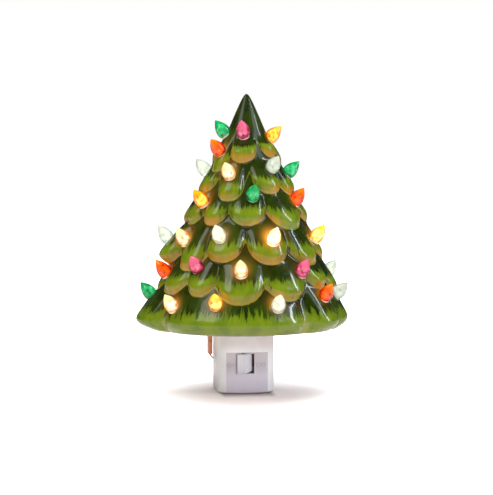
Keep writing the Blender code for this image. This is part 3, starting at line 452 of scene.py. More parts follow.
@dataclass(frozen=True)
class HousingFinish:
    """The housing's white plastic: a cooler, duller panel with its words, painted shade at the panel's
    top and on the inner faces of the switch's window, a painted shadow under the tree and on the foot,
    and a painted glow on the upper edge where the lamp's light would shine through."""

    colour: str = "eeeef0"
    shade: str = "e2e2e6"
    painted_top_shadow: str = "d0cccd"
    painted_foot_shadow: str = "a08c88"
    panel: str = "d4cfdc"
    painted_panel_shade: str = "c6c0c8"
    letter: str = "b6b0ba"
    dark: str = "3c3234"
    warm: str = "ffdcb0"
    cloud_size: float = 45.0
    grain_size: float = 3000.0
    shaded_front: Span = (-17.0, -25.24)
    shaded_top: Span = (-1.0, 7.0)
    shaded_foot: Span = (-22.6, -23.9)
    shaded_panel: Span = (-14.0, -9.0)
    panel_half: float = 12.45
    panel_top: float = 0.75
    panel_corner: Span = (-24.0, -24.25)
    panel_plane: float = -25.15
    letter_front: float = -25.24
    window_x: float = -1.3
    window_half: float = 5.6
    window_back: float = -22.9
    window_low: float = -12.0
    dark_right: float = 4.0
    dark_foot: float = -11.85
    dark_head: float = -0.12
    warm_height: Span = (0.2, 15.2)
    warm_width: Span = (13.5, 17.5)
    warm_least: float = 0.12
    warm_sides: float = 0.5
    warm_strength: float = 0.3
    roughness: float = 0.32
    panel_roughness: float = 0.12
    roughness_spread: float = 0.06
    coat: float = 0.3
    panel_dulling: float = 0.15

    def build(self) -> bpy.types.Material:
        """Builds the material from the model's own coordinates.

        Returns:
            The new material.
        """
        mat = Pattern("white_plastic")
        x, y, z = mat.position(1 / MM)
        cloud = mat.noise(mat.place(), self.cloud_size)
        grain = mat.noise(mat.place(), self.grain_size)
        plain = mat.mix(cloud.step(*EVEN_SPAN), self.colour, self.shade)
        # Painted shadow: the front's upper part, under the tree, is darker.
        painted_tree_shadow = y.step(*self.shaded_front) * z.step(*self.shaded_top)
        plain = mat.mix(painted_tree_shadow, plain, self.painted_top_shadow)
        inside = (abs(x) < self.panel_half) * (z < self.panel_top) * y.step(*self.panel_corner)
        # Painted shade: the panel is darker towards its top.
        panel = mat.mix(z.step(*self.shaded_panel), self.panel, self.painted_panel_shade)
        panel = mat.mix(y < self.letter_front, panel, self.letter)
        tone = mat.mix(inside, plain, panel)
        # Painted shade: the inner faces of the switch's window take a dark colour, though they are white
        # plastic.
        window = (y > self.panel_plane) * (abs(x - self.window_x) < self.window_half)
        window = window * (z < self.panel_top) * (y < self.window_back) * (z > self.window_low)
        ends = (z < self.dark_foot).or_more(z > self.dark_head)
        painted_window_shade = (x > self.dark_right).or_more(ends)
        tone = mat.mix(window * painted_window_shade, tone, self.dark)
        # Painted glow: the upper edge glows as if the lamp's light shone down through it.
        sides = abs(x).step(*self.warm_width) * self.warm_sides + self.warm_least
        # Painted contact shadow: the foot is darker towards the floor.
        mat.set({
            "Base Color": mat.mix(z.step(*self.shaded_foot), tone, self.painted_foot_shadow),
            "Roughness": inside * self.panel_roughness + self.roughness + cloud * self.roughness_spread,
            "Coat Weight": self.coat - inside * self.panel_dulling,
            "Coat Roughness": 0.08,
            "Subsurface Weight": 0.1,
            "Subsurface Radius": MILKY_DEPTHS,
            "Emission Color": self.warm,
            "Emission Strength": z.step(*self.warm_height) * sides * self.warm_strength,
        })
        mat.bump(cloud + grain * 0.12, depth=0.08, strength=0.5)
        return mat.material


@dataclass(frozen=True)
class MetalFinish:
    """Rolled or turned metal with fine lines along one direction and a slight tarnish."""

    name: str
    colour: str
    tarnish: str
    roughness: float
    grain: Place = (1.0, 1.0, 0.05)
    line_size: float = 6000.0
    cloud_size: float = 240.0
    stain_span: Span = (0.45, 0.8)
    stain_share: float = 0.6
    roughness_spread: float = 0.1

    def build(self) -> bpy.types.Material:
        """Builds the material.

        Returns:
            The new material.
        """
        mat = Pattern(self.name)
        lines = mat.noise(mat.place(self.grain), self.line_size)
        cloud = mat.noise(mat.place(), self.cloud_size, 3.0)
        stain = cloud.step(*self.stain_span) * self.stain_share
        mat.set({
            "Base Color": mat.mix(stain, self.colour, self.tarnish),
            "Metallic": 1.0,
            "Roughness": (lines + cloud) * self.roughness_spread + self.roughness,
        })
        mat.bump(lines, depth=0.02, strength=0.5)
        return mat.material


@dataclass(frozen=True)
class GlassFinish:
    """Blown glass, clear or opaque, with a faint wave."""

    name: str
    colour: str
    transmission: float
    roughness: float
    wave_size: float = 120.0
    wave_share: float = 0.2

    def build(self) -> bpy.types.Material:
        """Builds the material.

        Returns:
            The new material.
        """
        mat = Pattern(self.name)
        wave = mat.noise(mat.place(), self.wave_size, 1.0)
        mat.set({
            "Base Color": mat.mix(wave * self.wave_share, self.colour, "ffffff"),
            "Roughness": self.roughness,
            "IOR": 1.5,
            "Transmission Weight": self.transmission,
        })
        mat.bump(wave, depth=0.1, strength=0.3)
        return mat.material


@dataclass(frozen=True)
class WireFinish:
    """The lamp's glowing filament."""

    dark: str = "6a5a48"
    light: str = "9a8870"
    glow: str = "ffc078"
    coil_size: float = 3000.0
    coil_share: float = 1.5

    def build(self) -> bpy.types.Material:
        """Builds the material, brighter in the middle of the wire's turns.

        Returns:
            The new material.
        """
        mat = Pattern("tungsten")
        coil = mat.noise(mat.place(), self.coil_size, 1.0)
        mat.set({
            "Base Color": mat.mix(coil, self.dark, self.light),
            "Metallic": 0.8,
            "Roughness": 0.4,
            "Emission Color": self.glow,
            "Emission Strength": coil * self.coil_share + 1.0,
        })
        return mat.material


@dataclass(frozen=True)
class PinFinish:
    """Moulded see-through plastic of a pin light, which shows the lamp's light in its core as a painted
    glow, with painted glints and a darker painted outline.
    """

    name: str
    rim: str
    body: str
    core: str
    tip: str
    glass: float = 0.25
    shine: float = 1.0
    ring: str = "fff2e4"
    facet_size: float = 420.0
    facet_stretch: Place = (1.0, 1.0, 0.8)
    wave_size: float = 380.0
    swirl_size: float = 330.0
    swirl_stretch: Place = (1.0, 1.0, 0.6)
    mottle_span: Span = (0.75, 1.15)
    mottle_share: float = 0.8
    dark_swirl: Span = (0.44, 0.34)
    dark_share: float = 0.75
    light_swirl: Span = (0.56, 0.66)
    light_share: float = 0.7
    head_start: Span = (0.34, 0.5)
    head_end: Span = (0.92, 0.66)
    tip_span: Span = (0.66, 0.95)
    core_edge: Span = (0.62, 0.12)
    core_wave: Span = (0.25, 0.6)
    outline_span: Span = (0.55, 1.0)
    ring_start: Span = (0.352, 0.36)
    ring_end: Span = (0.42, 0.405)
    ring_share: float = 0.7
    asleep: float = 0.2
    awake: float = 0.9
    lit_gain: float = 1.6
    heart_power: float = 1.6
    least_power: float = 0.35

    def build(self) -> bpy.types.Material:
        """Builds the material, which reads the pin's attributes along and lit.

        Returns:
            The new material.
        """
        mat = Pattern(f"{self.name}_pin")
        along, lit = mat.named("along"), mat.named("lit")
        inputs = {"Vector": mat.place(self.facet_stretch), "Scale": self.facet_size}
        facets = mat.amount("ShaderNodeTexVoronoi", "Distance", inputs)
        wave = mat.noise(mat.place(), self.wave_size)
        swirl = mat.noise(mat.place(self.swirl_stretch), self.swirl_size)
        edge = mat.amount("ShaderNodeLayerWeight", "Facing", {"Blend": 0.5})
        middle = along.step(*self.head_start) * along.step(*self.head_end)
        heart = middle * edge.step(*self.core_edge) * wave.step(*self.core_wave)
        mottle = (facets + wave).step(*self.mottle_span) * self.mottle_share
        tone = mat.mix(mottle, self.body, self.rim)
        tone = mat.mix(swirl.step(*self.dark_swirl) * self.dark_share, tone, self.body)
        tone = mat.mix(along.step(*self.tip_span), tone, self.tip)
        # Painted glints: bright patches of the core colour in the middle of the head.
        painted_glint = middle * swirl.step(*self.light_swirl)
        tone = mat.mix(painted_glint * self.light_share, tone, self.core)
        # Painted glow: the core colour and the emission stand in for the lamp's light seen through the
        # plastic.
        waking = (lit * self.lit_gain + self.asleep).or_less(self.awake)
        tone = mat.mix(heart * waking, tone, self.core)
        # Painted shade: the outline, where the surface turns away from the view, is darker.
        tone = mat.mix(edge.step(*self.outline_span), tone, self.body)
        ring = along.step(*self.ring_start) * along.step(*self.ring_end)
        tone = mat.mix(ring * self.ring_share, tone, self.ring)
        power = heart * self.heart_power + self.least_power
        mat.set({
            "Base Color": tone,
            "Roughness": 0.08,
            "IOR": 1.49,
            "Transmission Weight": self.glass,
            "Specular IOR Level": 0.35,
            "Coat Weight": 0.3,
            "Coat Roughness": 0.04,
            "Emission Color": tone,
            "Emission Strength": lit * power * self.shine,
        })
        mat.bump(facets + swirl, depth=0.35, strength=0.45)
        return mat.material


AnyFinish = HousingFinish | PlasticFinish | MetalFinish | GlassFinish | WireFinish


def put_in_scene(name: str, data: bpy.types.ID) -> bpy.types.Object:
    """Makes an object of a mesh, a text, a lamp or a camera.

    Args:
        name: Name of the object.
        data: What the object shows.

    Returns:
        The new object, at the origin and linked to the scene.
    """
    item = bpy.data.objects.new(name, data)
    bpy.context.scene.collection.objects.link(item)
    return item


def make_object(name: str, mesh: bpy.types.Mesh, *finishes: bpy.types.Material) -> bpy.types.Object:
    """Makes an object of a mesh.

    Args:
        name: Name of the object and its mesh.
        mesh: The mesh, in place and in metres.
        finishes: Materials of its slots, in order.

    Returns:
        The new object, at the origin.
    """
    mesh.name = name
    for finish in finishes:
        mesh.materials.append(finish)
    return put_in_scene(name, mesh)


def finished_mesh(item: bpy.types.Object) -> bpy.types.Mesh:
    """Turns an object into a plain mesh, as its modifiers and settings leave it.

    Args:
        item: The object.

    Returns:
        The new mesh.
    """
    bpy.context.view_layer.update()
    shape = item.evaluated_get(bpy.context.evaluated_depsgraph_get())
    return bpy.data.meshes.new_from_object(shape)


def settle(item: bpy.types.Object) -> None:
    """Applies the modifiers of an object with a mesh, and removes them.

    Args:
        item: The object, which gets a new mesh under the old one's name.
    """
    mesh, old = finished_mesh(item), item.data
    name = old.name
    item.modifiers.clear()
    item.data = mesh
    bpy.data.meshes.remove(old)
    mesh.name = name


def prism(outline: Sequence[tuple[float, float]], low: float, high: float) -> bpy.types.Mesh:
    """An upright prism.

    Args:
        outline: Its plan, anticlockwise and in millimetres.
        low: Height of its lower face in millimetres.
        high: Height of its upper face.

    Returns:
        The closed mesh, in metres.
    """
    count = len(outline)
    verts = [(x * MM, y * MM, z * MM) for z in (low, high) for x, y in outline]
    faces = [tuple(range(count - 1, -1, -1)), tuple(range(count, 2 * count))]
    faces += [(i, (i + 1) % count, (i + 1) % count + count, i + count) for i in range(count)]
    mesh = bpy.data.meshes.new("prism")
    mesh.from_pydata(verts, [], faces)
    return mesh


def block(low: Sequence[float], high: Sequence[float]) -> bpy.types.Mesh:
    """A box between two corners in millimetres."""
    outline = [(low[0], low[1]), (high[0], low[1]), (high[0], high[1]), (low[0], high[1])]
    return prism(outline, low[2], high[2])


def arc(
    centre: tuple[float, float], radius: float, start: float, end: float, steps: int
) -> list[tuple[float, float]]:
    """Points on an arc from one angle to another, in millimetres and degrees."""
    angles = [math.radians(start + (end - start) * i / steps) for i in range(steps + 1)]
    return [(centre[0] + radius * math.cos(a), centre[1] + radius * math.sin(a)) for a in angles]


def combine(item: bpy.types.Object, how: Solid, meshes: Iterable[bpy.types.Mesh]) -> None:
    """Cuts closed shapes from an object or joins them to it, one after the other.

    Args:
        item: The object.
        how: Whether the shapes are cut or joined.
        meshes: The closed shapes, which are used up.
    """
    for mesh in meshes:
        tool = put_in_scene("tool", mesh)
        step = item.modifiers.new("combine", "BOOLEAN")
        step.operation = how.value
        step.solver = "MANIFOLD"
        step.object = tool
        settle(item)
        bpy.data.objects.remove(tool)
        bpy.data.meshes.remove(mesh)


def soften_edges(item: bpy.types.Object, width: float, angle: float = 35.0, spare: float = 5.0) -> None:
    """Rounds an object's edges and shades it smooth between the sharp ones.

    Args:
        item: The object.
        width: Width of the rounded edges in millimetres, or 0 for none.
        angle: Least angle between two faces whose edge is rounded.
        spare: How much more than that angle an edge turns that is still shaded sharp.
    """
    if width:
        step = item.modifiers.new("edges", "BEVEL")
        step.width = width * MM
        step.segments = 2
        step.limit_method = "ANGLE"
        step.angle_limit = math.radians(angle)
        settle(item)
    item.data.shade_smooth()
    item.data.set_sharp_from_angle(angle=math.radians(angle + spare))


@dataclass
class TreeForm:
    """The rule behind the tree: a cone, elliptical in plan, with tiers of swelling boughs. A tier is
    the level of its upper end and its boughs. A bough is its bearing, half width, lowest level and
    swell. Levels are percentages of the tree's height."""

    axis_y: float = -22.0
    base: float = 15.5
    height: float = 137.5
    slope: float = 0.42
    tip_round: float = 2.2
    depth_share: float = 0.78
    hem_height: float = 9.0
    hem_tuck: float = 7.0
    step: float = 0.32
    rounding: float = 1.05
    cleft: float = 2.0
    fade: float = 0.65
    roundness: float = 2.6
    underside: float = 6.5
    underside_least: float = 1.0
    ledge: float = 0.5
    least_face: float = 1.2
    crowding: float = 14.0
    tiers: tuple = (
        (81, ((-14, 31, 71, 4.2), (48, 24, 73, 3.6), (-60, 20, 67, 3.6), (100, 26, 69, 3.2),
              (-112, 26, 70, 3.2), (155, 28, 71, 3.2), (-165, 26, 69, 3.2))),
        (71, ((-28, 18, 55, 4.4), (24, 24, 58, 4.4), (-72, 20, 58, 4.4), (60, 17, 57, 3.8),
              (92, 18, 57, 3.8), (-112, 18, 56, 3.8), (130, 18, 58, 3.6), (-148, 16, 57, 3.6),
              (168, 18, 57, 3.6))),
        (60, ((-6, 22, 45, 5.4), (-42, 16, 45, 4.6), (-72, 15, 45, 5.2), (39, 27, 43, 5.2),
              (82, 17, 45, 4.4), (-100, 14, 44, 5.0), (114, 16, 45, 4.2), (-126, 14, 46, 4.2),
              (145, 15, 46, 4.2))),
        (47, ((-26, 18, 30, 6.0), (12, 19, 29, 5.8), (-54, 15, 26, 5.6), (-84, 16, 28, 11.6),
              (48, 21, 28, 5.0), (86, 18, 29, 4.4), (-112, 15, 28, 7.0), (118, 15, 28, 4.6))),
        (32, ((-11, 18, 13, 6.6), (21, 18, 14, 6.2), (-39, 12, 16, 5.4), (-65, 16, 16, 5.2),
              (51, 14, 18, 5.6), (77, 14, 15, 5.0), (-94, 14, 15, 3.6), (104, 14, 15, 5.0),
              (-121, 14, 16, 5.0), (130, 14, 16, 5.0))),
        (21, ((-16, 48, -3, 6.6), (-84, 19, 1, 9.8), (47, 14, -1, 6.2), (74, 14, 1, 4.2),
              (101, 14, 1, 4.2), (-108, 15, 1, 8.0), (129, 15, 1, 6.0), (-134, 14, 1, 6.4))),
    )

    @property
    def top(self) -> float:
        """Height of the tree's tip."""
        return self.base + self.height

    def level(self, share: float | np.ndarray) -> float | np.ndarray:
        """Height of a level, a percentage of the tree's height."""
        return self.base + self.height * share / 100

    def cone(self, z: np.ndarray) -> np.ndarray:
        """Half width of the plain cone, which is round at its tip and tucked in at its hem.

        Args:
            z: Heights.

        Returns:
            Half the cone's width at each height.
        """
        drop = np.maximum(self.top - z, 0.0)
        radius = np.sqrt((self.slope * drop) ** 2 + 2 * self.tip_round * self.slope * drop)
        above = np.minimum((z - self.base) / self.hem_height, 1.0)
        return radius - self.hem_tuck * (1 - above) ** 2

    def edges(self, boughs: tuple, bearing: np.ndarray) -> tuple[np.ndarray, np.ndarray, np.ndarray]:
        """Lower edge of a tier round the tree.

        Args:
            boughs: Bearing, half width, lowest level and swell of each bough.
            bearing: Bearings to find it at.

        Returns:
            Height of the edge, swell of the bough there, and how full the bough is there, 1 at its
            middle and 0 at its sides.
        """
        table = np.array(boughs, float)
        middle, half, swell = table[:, 0], table[:, 1], table[:, 3]
        low = self.level(table[:, 2])
        width = np.radians(half) * self.cone(np.maximum(low, self.base))
        gap = (bearing[:, None] - middle + 180) % 360 - 180
        across = np.abs(gap) / half
        full = np.sqrt(np.maximum(1 - across ** 2, 0.0))
        edge = low + width * (self.rounding * (1 - full) + self.cleft * np.maximum(across - 1, 0.0))
        pick = np.argmin(edge, axis=1)
        rows = np.arange(len(bearing))
        stand = swell * np.maximum(1 - across ** self.roundness, 0.0)
        return edge[rows, pick], stand[rows, pick], full[rows, pick]

    def spans(self, bearing: np.ndarray) -> list[tuple[np.ndarray, ...]]:
        """Where each tier starts, swells and ends round the tree.

        Args:
            bearing: Bearings to find it at.

        Returns:
            Each tier's fade start, upper end, crest, lower edge, swell and fullness.
        """
        found = []
        above = np.full(len(bearing), self.level(self.tiers[0][0]))
        for number, (level, boughs) in enumerate(self.tiers):
            edge, swell, full = self.edges(boughs, bearing)
            bulge = full
            if number == len(self.tiers) - 1:
                edge = np.full(len(bearing), self.base)
                bulge = np.ones(len(bearing))
            crest = edge + np.maximum(self.underside * bulge, self.underside_least)
            crest = np.minimum(crest, above - self.least_face)
            edge = np.minimum(edge, crest - self.underside_least / 2)
            start = np.maximum(self.level(level), crest + self.least_face)
            found.append((start, above, crest, edge, swell, full))
            above = edge
        return found

    def point(self, bearing: np.ndarray, z: np.ndarray, out: np.ndarray) -> np.ndarray:
        """Places that stand out from the cone.

        Args:
            bearing: Their bearings.
            z: Their heights.
            out: How far they stand out.

        Returns:
            Their coordinates in millimetres, along the last axis.
        """
        angle = np.radians(bearing)
        radius = self.cone(z)
        x = (radius + out) * np.sin(angle)
        y = self.axis_y - (radius * self.depth_share + out) * np.cos(angle)
        return np.stack([x, y, z + 0 * x], axis=-1)


@dataclass
class PinLight:
    """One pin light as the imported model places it, with its look."""

    node: str
    foot: Vector
    tip: Vector
    light: Light
    heart_share: float = 0.55

    @property
    def colour(self) -> str:
        """Colour name at the end of the node's name."""
        return self.node.rsplit("_", 1)[1]

    @property
    def heart(self) -> Vector:
        """Middle of the pin's head."""
        return self.foot.lerp(self.tip, self.heart_share)


@dataclass
class CeramicTree:
    """The glazed tree: boughs outside, a smooth hollow inside, and a floor with the lamp's notch."""

    form: TreeForm = field(default_factory=TreeForm)
    columns: int = 420
    tip_rows: int = 26
    tip_crowding: float = 1.5
    face_rows: int = 17
    underside_rows: int = 9
    hollow_rows: int = 40
    wall: float = 3.6
    floor: float = 3.5
    solid_tip: float = 12.6
    roof_rise: float = 1.0
    back_y: float = -1.0
    notch: float = 12.4
    notch_y: float = -13.2
    notch_steps: int = 48
    leg_places: tuple[float, float] = (-20.45, 18.05)
    leg_reach: float = 0.85
    leg_front: float = -7.8
    cutter_spare: float = 1.0
    cutter_back: float = 2.0
    wall_cutter: Place = (90.0, 60.0, 5.0)
    softening: int = 10
    kept_share: float = 0.4
    side_share: float = 0.3
    row_share: float = 0.15
    loose_tip_rows: int = 4
    skirt_fullness: float = 0.8
    tip_reach: float = -0.2
    side_reach: float = 0.35
    middle_reach: float = 0.65
    top_tier_reach: float = 0.12
    underside_reach: float = 0.75
    cleft_width: float = 0.35
    cleft_start: float = 0.55
    cleft_gain: float = 2.2
    lip_row: float = 0.93
    lip_sharpness: float = 9.0
    # Share of painted warm pin light on each tier's undersides.
    ochre: tuple[float, ...] = (0.9, 0.8, 0.9, 0.75, 0.45, 0.05)
    ochre_gain: float = 1.4
    skin_depth: float = 1.2
    cut_touch: float = 0.05
    glow_gain: float = 2.6
    glow_limit: float = 2.0
    glow_reach: float = 5.5
    glow_core: float = 2.0
    glow_facing: float = 0.8
    glow_around: float = 0.2
    sharp_angle: float = 60.0

    def grid(self) -> tuple[np.ndarray, dict[str, np.ndarray]]:
        """Places of the outer surface's rows and columns, with the glaze's attributes there.

        Returns:
            An array of rows, columns and coordinates, and an array for each attribute.
        """
        turn = np.linspace(-math.pi, math.pi, self.columns, endpoint=False)
        bearing = np.degrees(turn) - self.form.crowding * np.sin(turn)
        spans = self.form.spans(bearing)
        top, first = self.form.top, spans[0][1] - self.form.ledge
        zero = np.zeros(self.columns)
        rows = []
        for i in range(self.tip_rows):
            share = ((i + 1) / (self.tip_rows + 1)) ** self.tip_crowding
            rows.append((top + (first - top) * share, zero, zero + self.tip_reach, zero, zero))
        for number, (start, above, crest, edge, swell, full) in enumerate(spans):
            begin = above - self.form.ledge
            cleft, extra = zero, 0.0
            if number == 0:
                extra = self.top_tier_reach
            if number == len(spans) - 1:
                cleft = np.maximum(1 - full / self.cleft_width, 0.0)
                full = np.maximum(full, self.skirt_fullness)
            for i in range(self.face_rows):
                share = i / (self.face_rows - 1)
                z = begin + (crest - begin) * share
                rise = np.maximum(1 - (z - crest) / (start - crest), 0.0)
                reach = rise * (self.side_reach + self.middle_reach * full ** 0.5) + extra
                lip = cleft * max(0.0, share - self.cleft_start) * self.cleft_gain
                rows.append((z, swell * rise ** self.form.fade, reach, zero, lip))
            for i in range(1, self.underside_rows + 1):
                share = i / self.underside_rows
                turn_in = np.sin((1 - share) * math.pi / 2)
                out = swell * (self.form.step + (1 - self.form.step) * turn_in)
                reach = np.maximum(full ** 0.5, self.underside_reach)
                # lens is the share of painted warm pin light on this underside row.
                lens = full ** 0.5 * min(share * self.ochre_gain, 1.0) * self.ochre[number]
                lip = np.maximum(cleft, max(0.0, 1 - abs(share - self.lip_row) * self.lip_sharpness))
                rows.append((crest + (edge - crest) * share, out, reach, lens, lip))
        height, out, reach, lens, lip = np.array(rows).transpose(1, 0, 2)
        places = self.smoothed(self.form.point(bearing[None, :], height, out))
        return places, {"reach": reach, "lens": lens, "lip": lip}

    def smoothed(self, places: np.ndarray) -> np.ndarray:
        """Softens the surface between neighbouring places, but for the tip and the lowest row.

        Args:
            places: Rows, columns and coordinates.

        Returns:
            The softened places.
        """
        fixed = places[-1].copy()
        kept = places[: self.tip_rows - self.loose_tip_rows].copy()
        for _ in range(self.softening):
            near = (np.roll(places, 1, axis=1) + np.roll(places, -1, axis=1)) / 2
            up = np.concatenate([places[:1], places[:-1]])
            down = np.concatenate([places[1:], places[-1:]])
            places = places * self.kept_share + near * self.side_share + (up + down) * self.row_share
            places[-1] = fixed
            places[: len(kept)] = kept
        return places

    def hollow(self) -> np.ndarray:
        """Places of the smooth hollow's rows and columns, from its roof down to its floor.

        Returns:
            An array of rows, columns and coordinates.
        """
        columns = self.columns // 3
        bearing = np.linspace(-180, 180, columns, endpoint=False)
        roof = self.form.top - self.solid_tip
        inward = np.full(columns, -self.wall)
        heights = np.linspace(roof, self.form.base + self.floor, self.hollow_rows)
        return np.array([self.form.point(bearing, np.full(columns, z), inward) for z in heights])

    def skin(self, places: np.ndarray, top: float, start: int, inward: bool) -> tuple[list, list]:
        """Closes a grid of places at both ends.

        Args:
            places: Rows, columns and coordinates in millimetres, from the top down.
            top: Height of the vertex that closes the upper end.
            start: Number of the first vertex.
            inward: Whether the faces point towards the axis.

        Returns:
            Vertices in millimetres and faces.
        """
        rows, columns = places.shape[:2]
        verts = [tuple(p) for p in places.reshape(-1, 3)]
        low = float(places[-1, :, 2].mean())
        verts += [(0.0, self.form.axis_y, top), (0.0, self.form.axis_y, low)]
        tip, foot = start + rows * columns, start + rows * columns + 1
        last = start + (rows - 1) * columns
        faces = []
        for j in range(columns):
            k = (j + 1) % columns
            faces.append((tip, start + j, start + k))
            faces.append((foot, last + k, last + j))
            for a in range(start, last, columns):
                faces.append((a + j, a + columns + j, a + columns + k, a + k))
        if inward:
            faces = [face[::-1] for face in faces]
        return verts, faces

    def shell(self) -> tuple[bpy.types.Object, np.ndarray, dict[str, np.ndarray]]:
        """The whole tree, cut flat at the wall and notched for the lamp and the clip.

        Returns:
            The object, and the outer surface's places and attributes for shading it.
        """
        places, marks = self.grid()
        outer, outer_faces = self.skin(places, self.form.top, 0, False)
        hollow = self.hollow()
        roof = float(hollow[0, 0, 2]) + self.roof_rise
        inner, inner_faces = self.skin(hollow, roof, len(outer), True)
        mesh = bpy.data.meshes.new("tree_glaze")
        verts = np.array(outer + inner) * MM
        mesh.from_pydata(verts.tolist(), [], outer_faces + inner_faces)
        item = make_object("tree_glaze", mesh)
        base, top = self.form.base, self.form.top
        low, high = base - self.cutter_spare, base + self.floor + self.cutter_spare
        notch = arc((0, self.notch_y), self.notch, 180, 360, self.notch_steps)
        notch += [(self.notch, self.cutter_back), (-self.notch, self.cutter_back)]
        side, back, spare = self.wall_cutter
        behind_wall = block((-side, self.back_y, base - spare), (side, back, top + spare))
        legs = [
            block((x - self.leg_reach, self.leg_front, low), (x + self.leg_reach, self.cutter_back, high))
            for x in self.leg_places
        ]
        combine(item, Solid.CUT, [behind_wall, prism(notch, low, high), *legs])
        return item, places, marks

    def glow(self, spots: np.ndarray, normals: np.ndarray, pins: Sequence[PinLight]) -> np.ndarray:
        """How much light of the pins falls on the glaze.

        Args:
            spots: Vertices of the tree in metres.
            normals: Their normals.
            pins: The pin lights.

        Returns:
            The light on each vertex.
        """
        glow = np.zeros(len(spots))
        for pin in pins:
            away = np.array(pin.heart) - spots
            distance = np.linalg.norm(away, axis=1)
            facing = np.maximum((away * normals).sum(axis=1) / distance, 0.0)
            power = min(pin.light.value * self.glow_gain, self.glow_limit)
            near = (self.glow_reach * MM / (distance + self.glow_core * MM)) ** 2
            glow += power * (facing * self.glow_facing + self.glow_around) * near
        return glow

    def dress(
        self, item: bpy.types.Object, places: np.ndarray, marks: dict[str, np.ndarray],
        pins: Sequence[PinLight],
    ) -> None:
        """Writes the glaze's attributes on the finished mesh, and tells clay from glaze.

        Args:
            item: The tree.
            places: The outer surface's places.
            marks: Its attributes.
            pins: The pin lights, whose light falls on the glaze.
        """
        mesh = item.data
        flat = places.reshape(-1, 3) * MM
        tree = KDTree(len(flat))
        for number, place in enumerate(flat):
            tree.insert(place, number)
        tree.balance()
        spots, normals = np.zeros((2, len(mesh.vertices) * 3))
        mesh.vertices.foreach_get("co", spots)
        mesh.vertices.foreach_get("normal", normals)
        spots, normals = spots.reshape(-1, 3), normals.reshape(-1, 3)
        found = [tree.find(spot) for spot in spots]
        nearest = np.array([number for _, number, _ in found])
        inside = np.array([distance for _, _, distance in found]) > self.skin_depth * MM
        values = {name: mark.reshape(-1)[nearest] for name, mark in marks.items()}
        # glow carries the pins' light, which the glaze paints into its colour and its glow.
        values["glow"] = self.glow(spots, normals, pins)
        for name, amounts in values.items():
            layer = mesh.attributes.new(name, "FLOAT", "POINT")
            layer.data.foreach_set("value", amounts.astype(np.float32))
        for face in mesh.polygons:
            on_back = face.center.y > (self.back_y - self.cut_touch) * MM
            under = face.center.z < (self.form.base + self.cut_touch) * MM
            face.material_index = int(on_back or under or all(inside[list(face.vertices)]))
        mesh.shade_smooth()
        mesh.set_sharp_from_angle(angle=math.radians(self.sharp_angle))

    def build(self, pins: Sequence[PinLight]) -> None:
        """Builds and dresses the tree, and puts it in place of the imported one.

        Args:
            pins: The pin lights that stand in it.
        """
        item, places, marks = self.shell()
        item.data.materials.clear()
        item.data.materials.append(GlazeFinish().build())
        item.data.materials.append(ClayFinish().build())
        self.dress(item, places, marks, pins)
        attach(item, "shade")
        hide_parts("tree_shell")
        log.info("tree: %d faces", len(item.data.polygons))


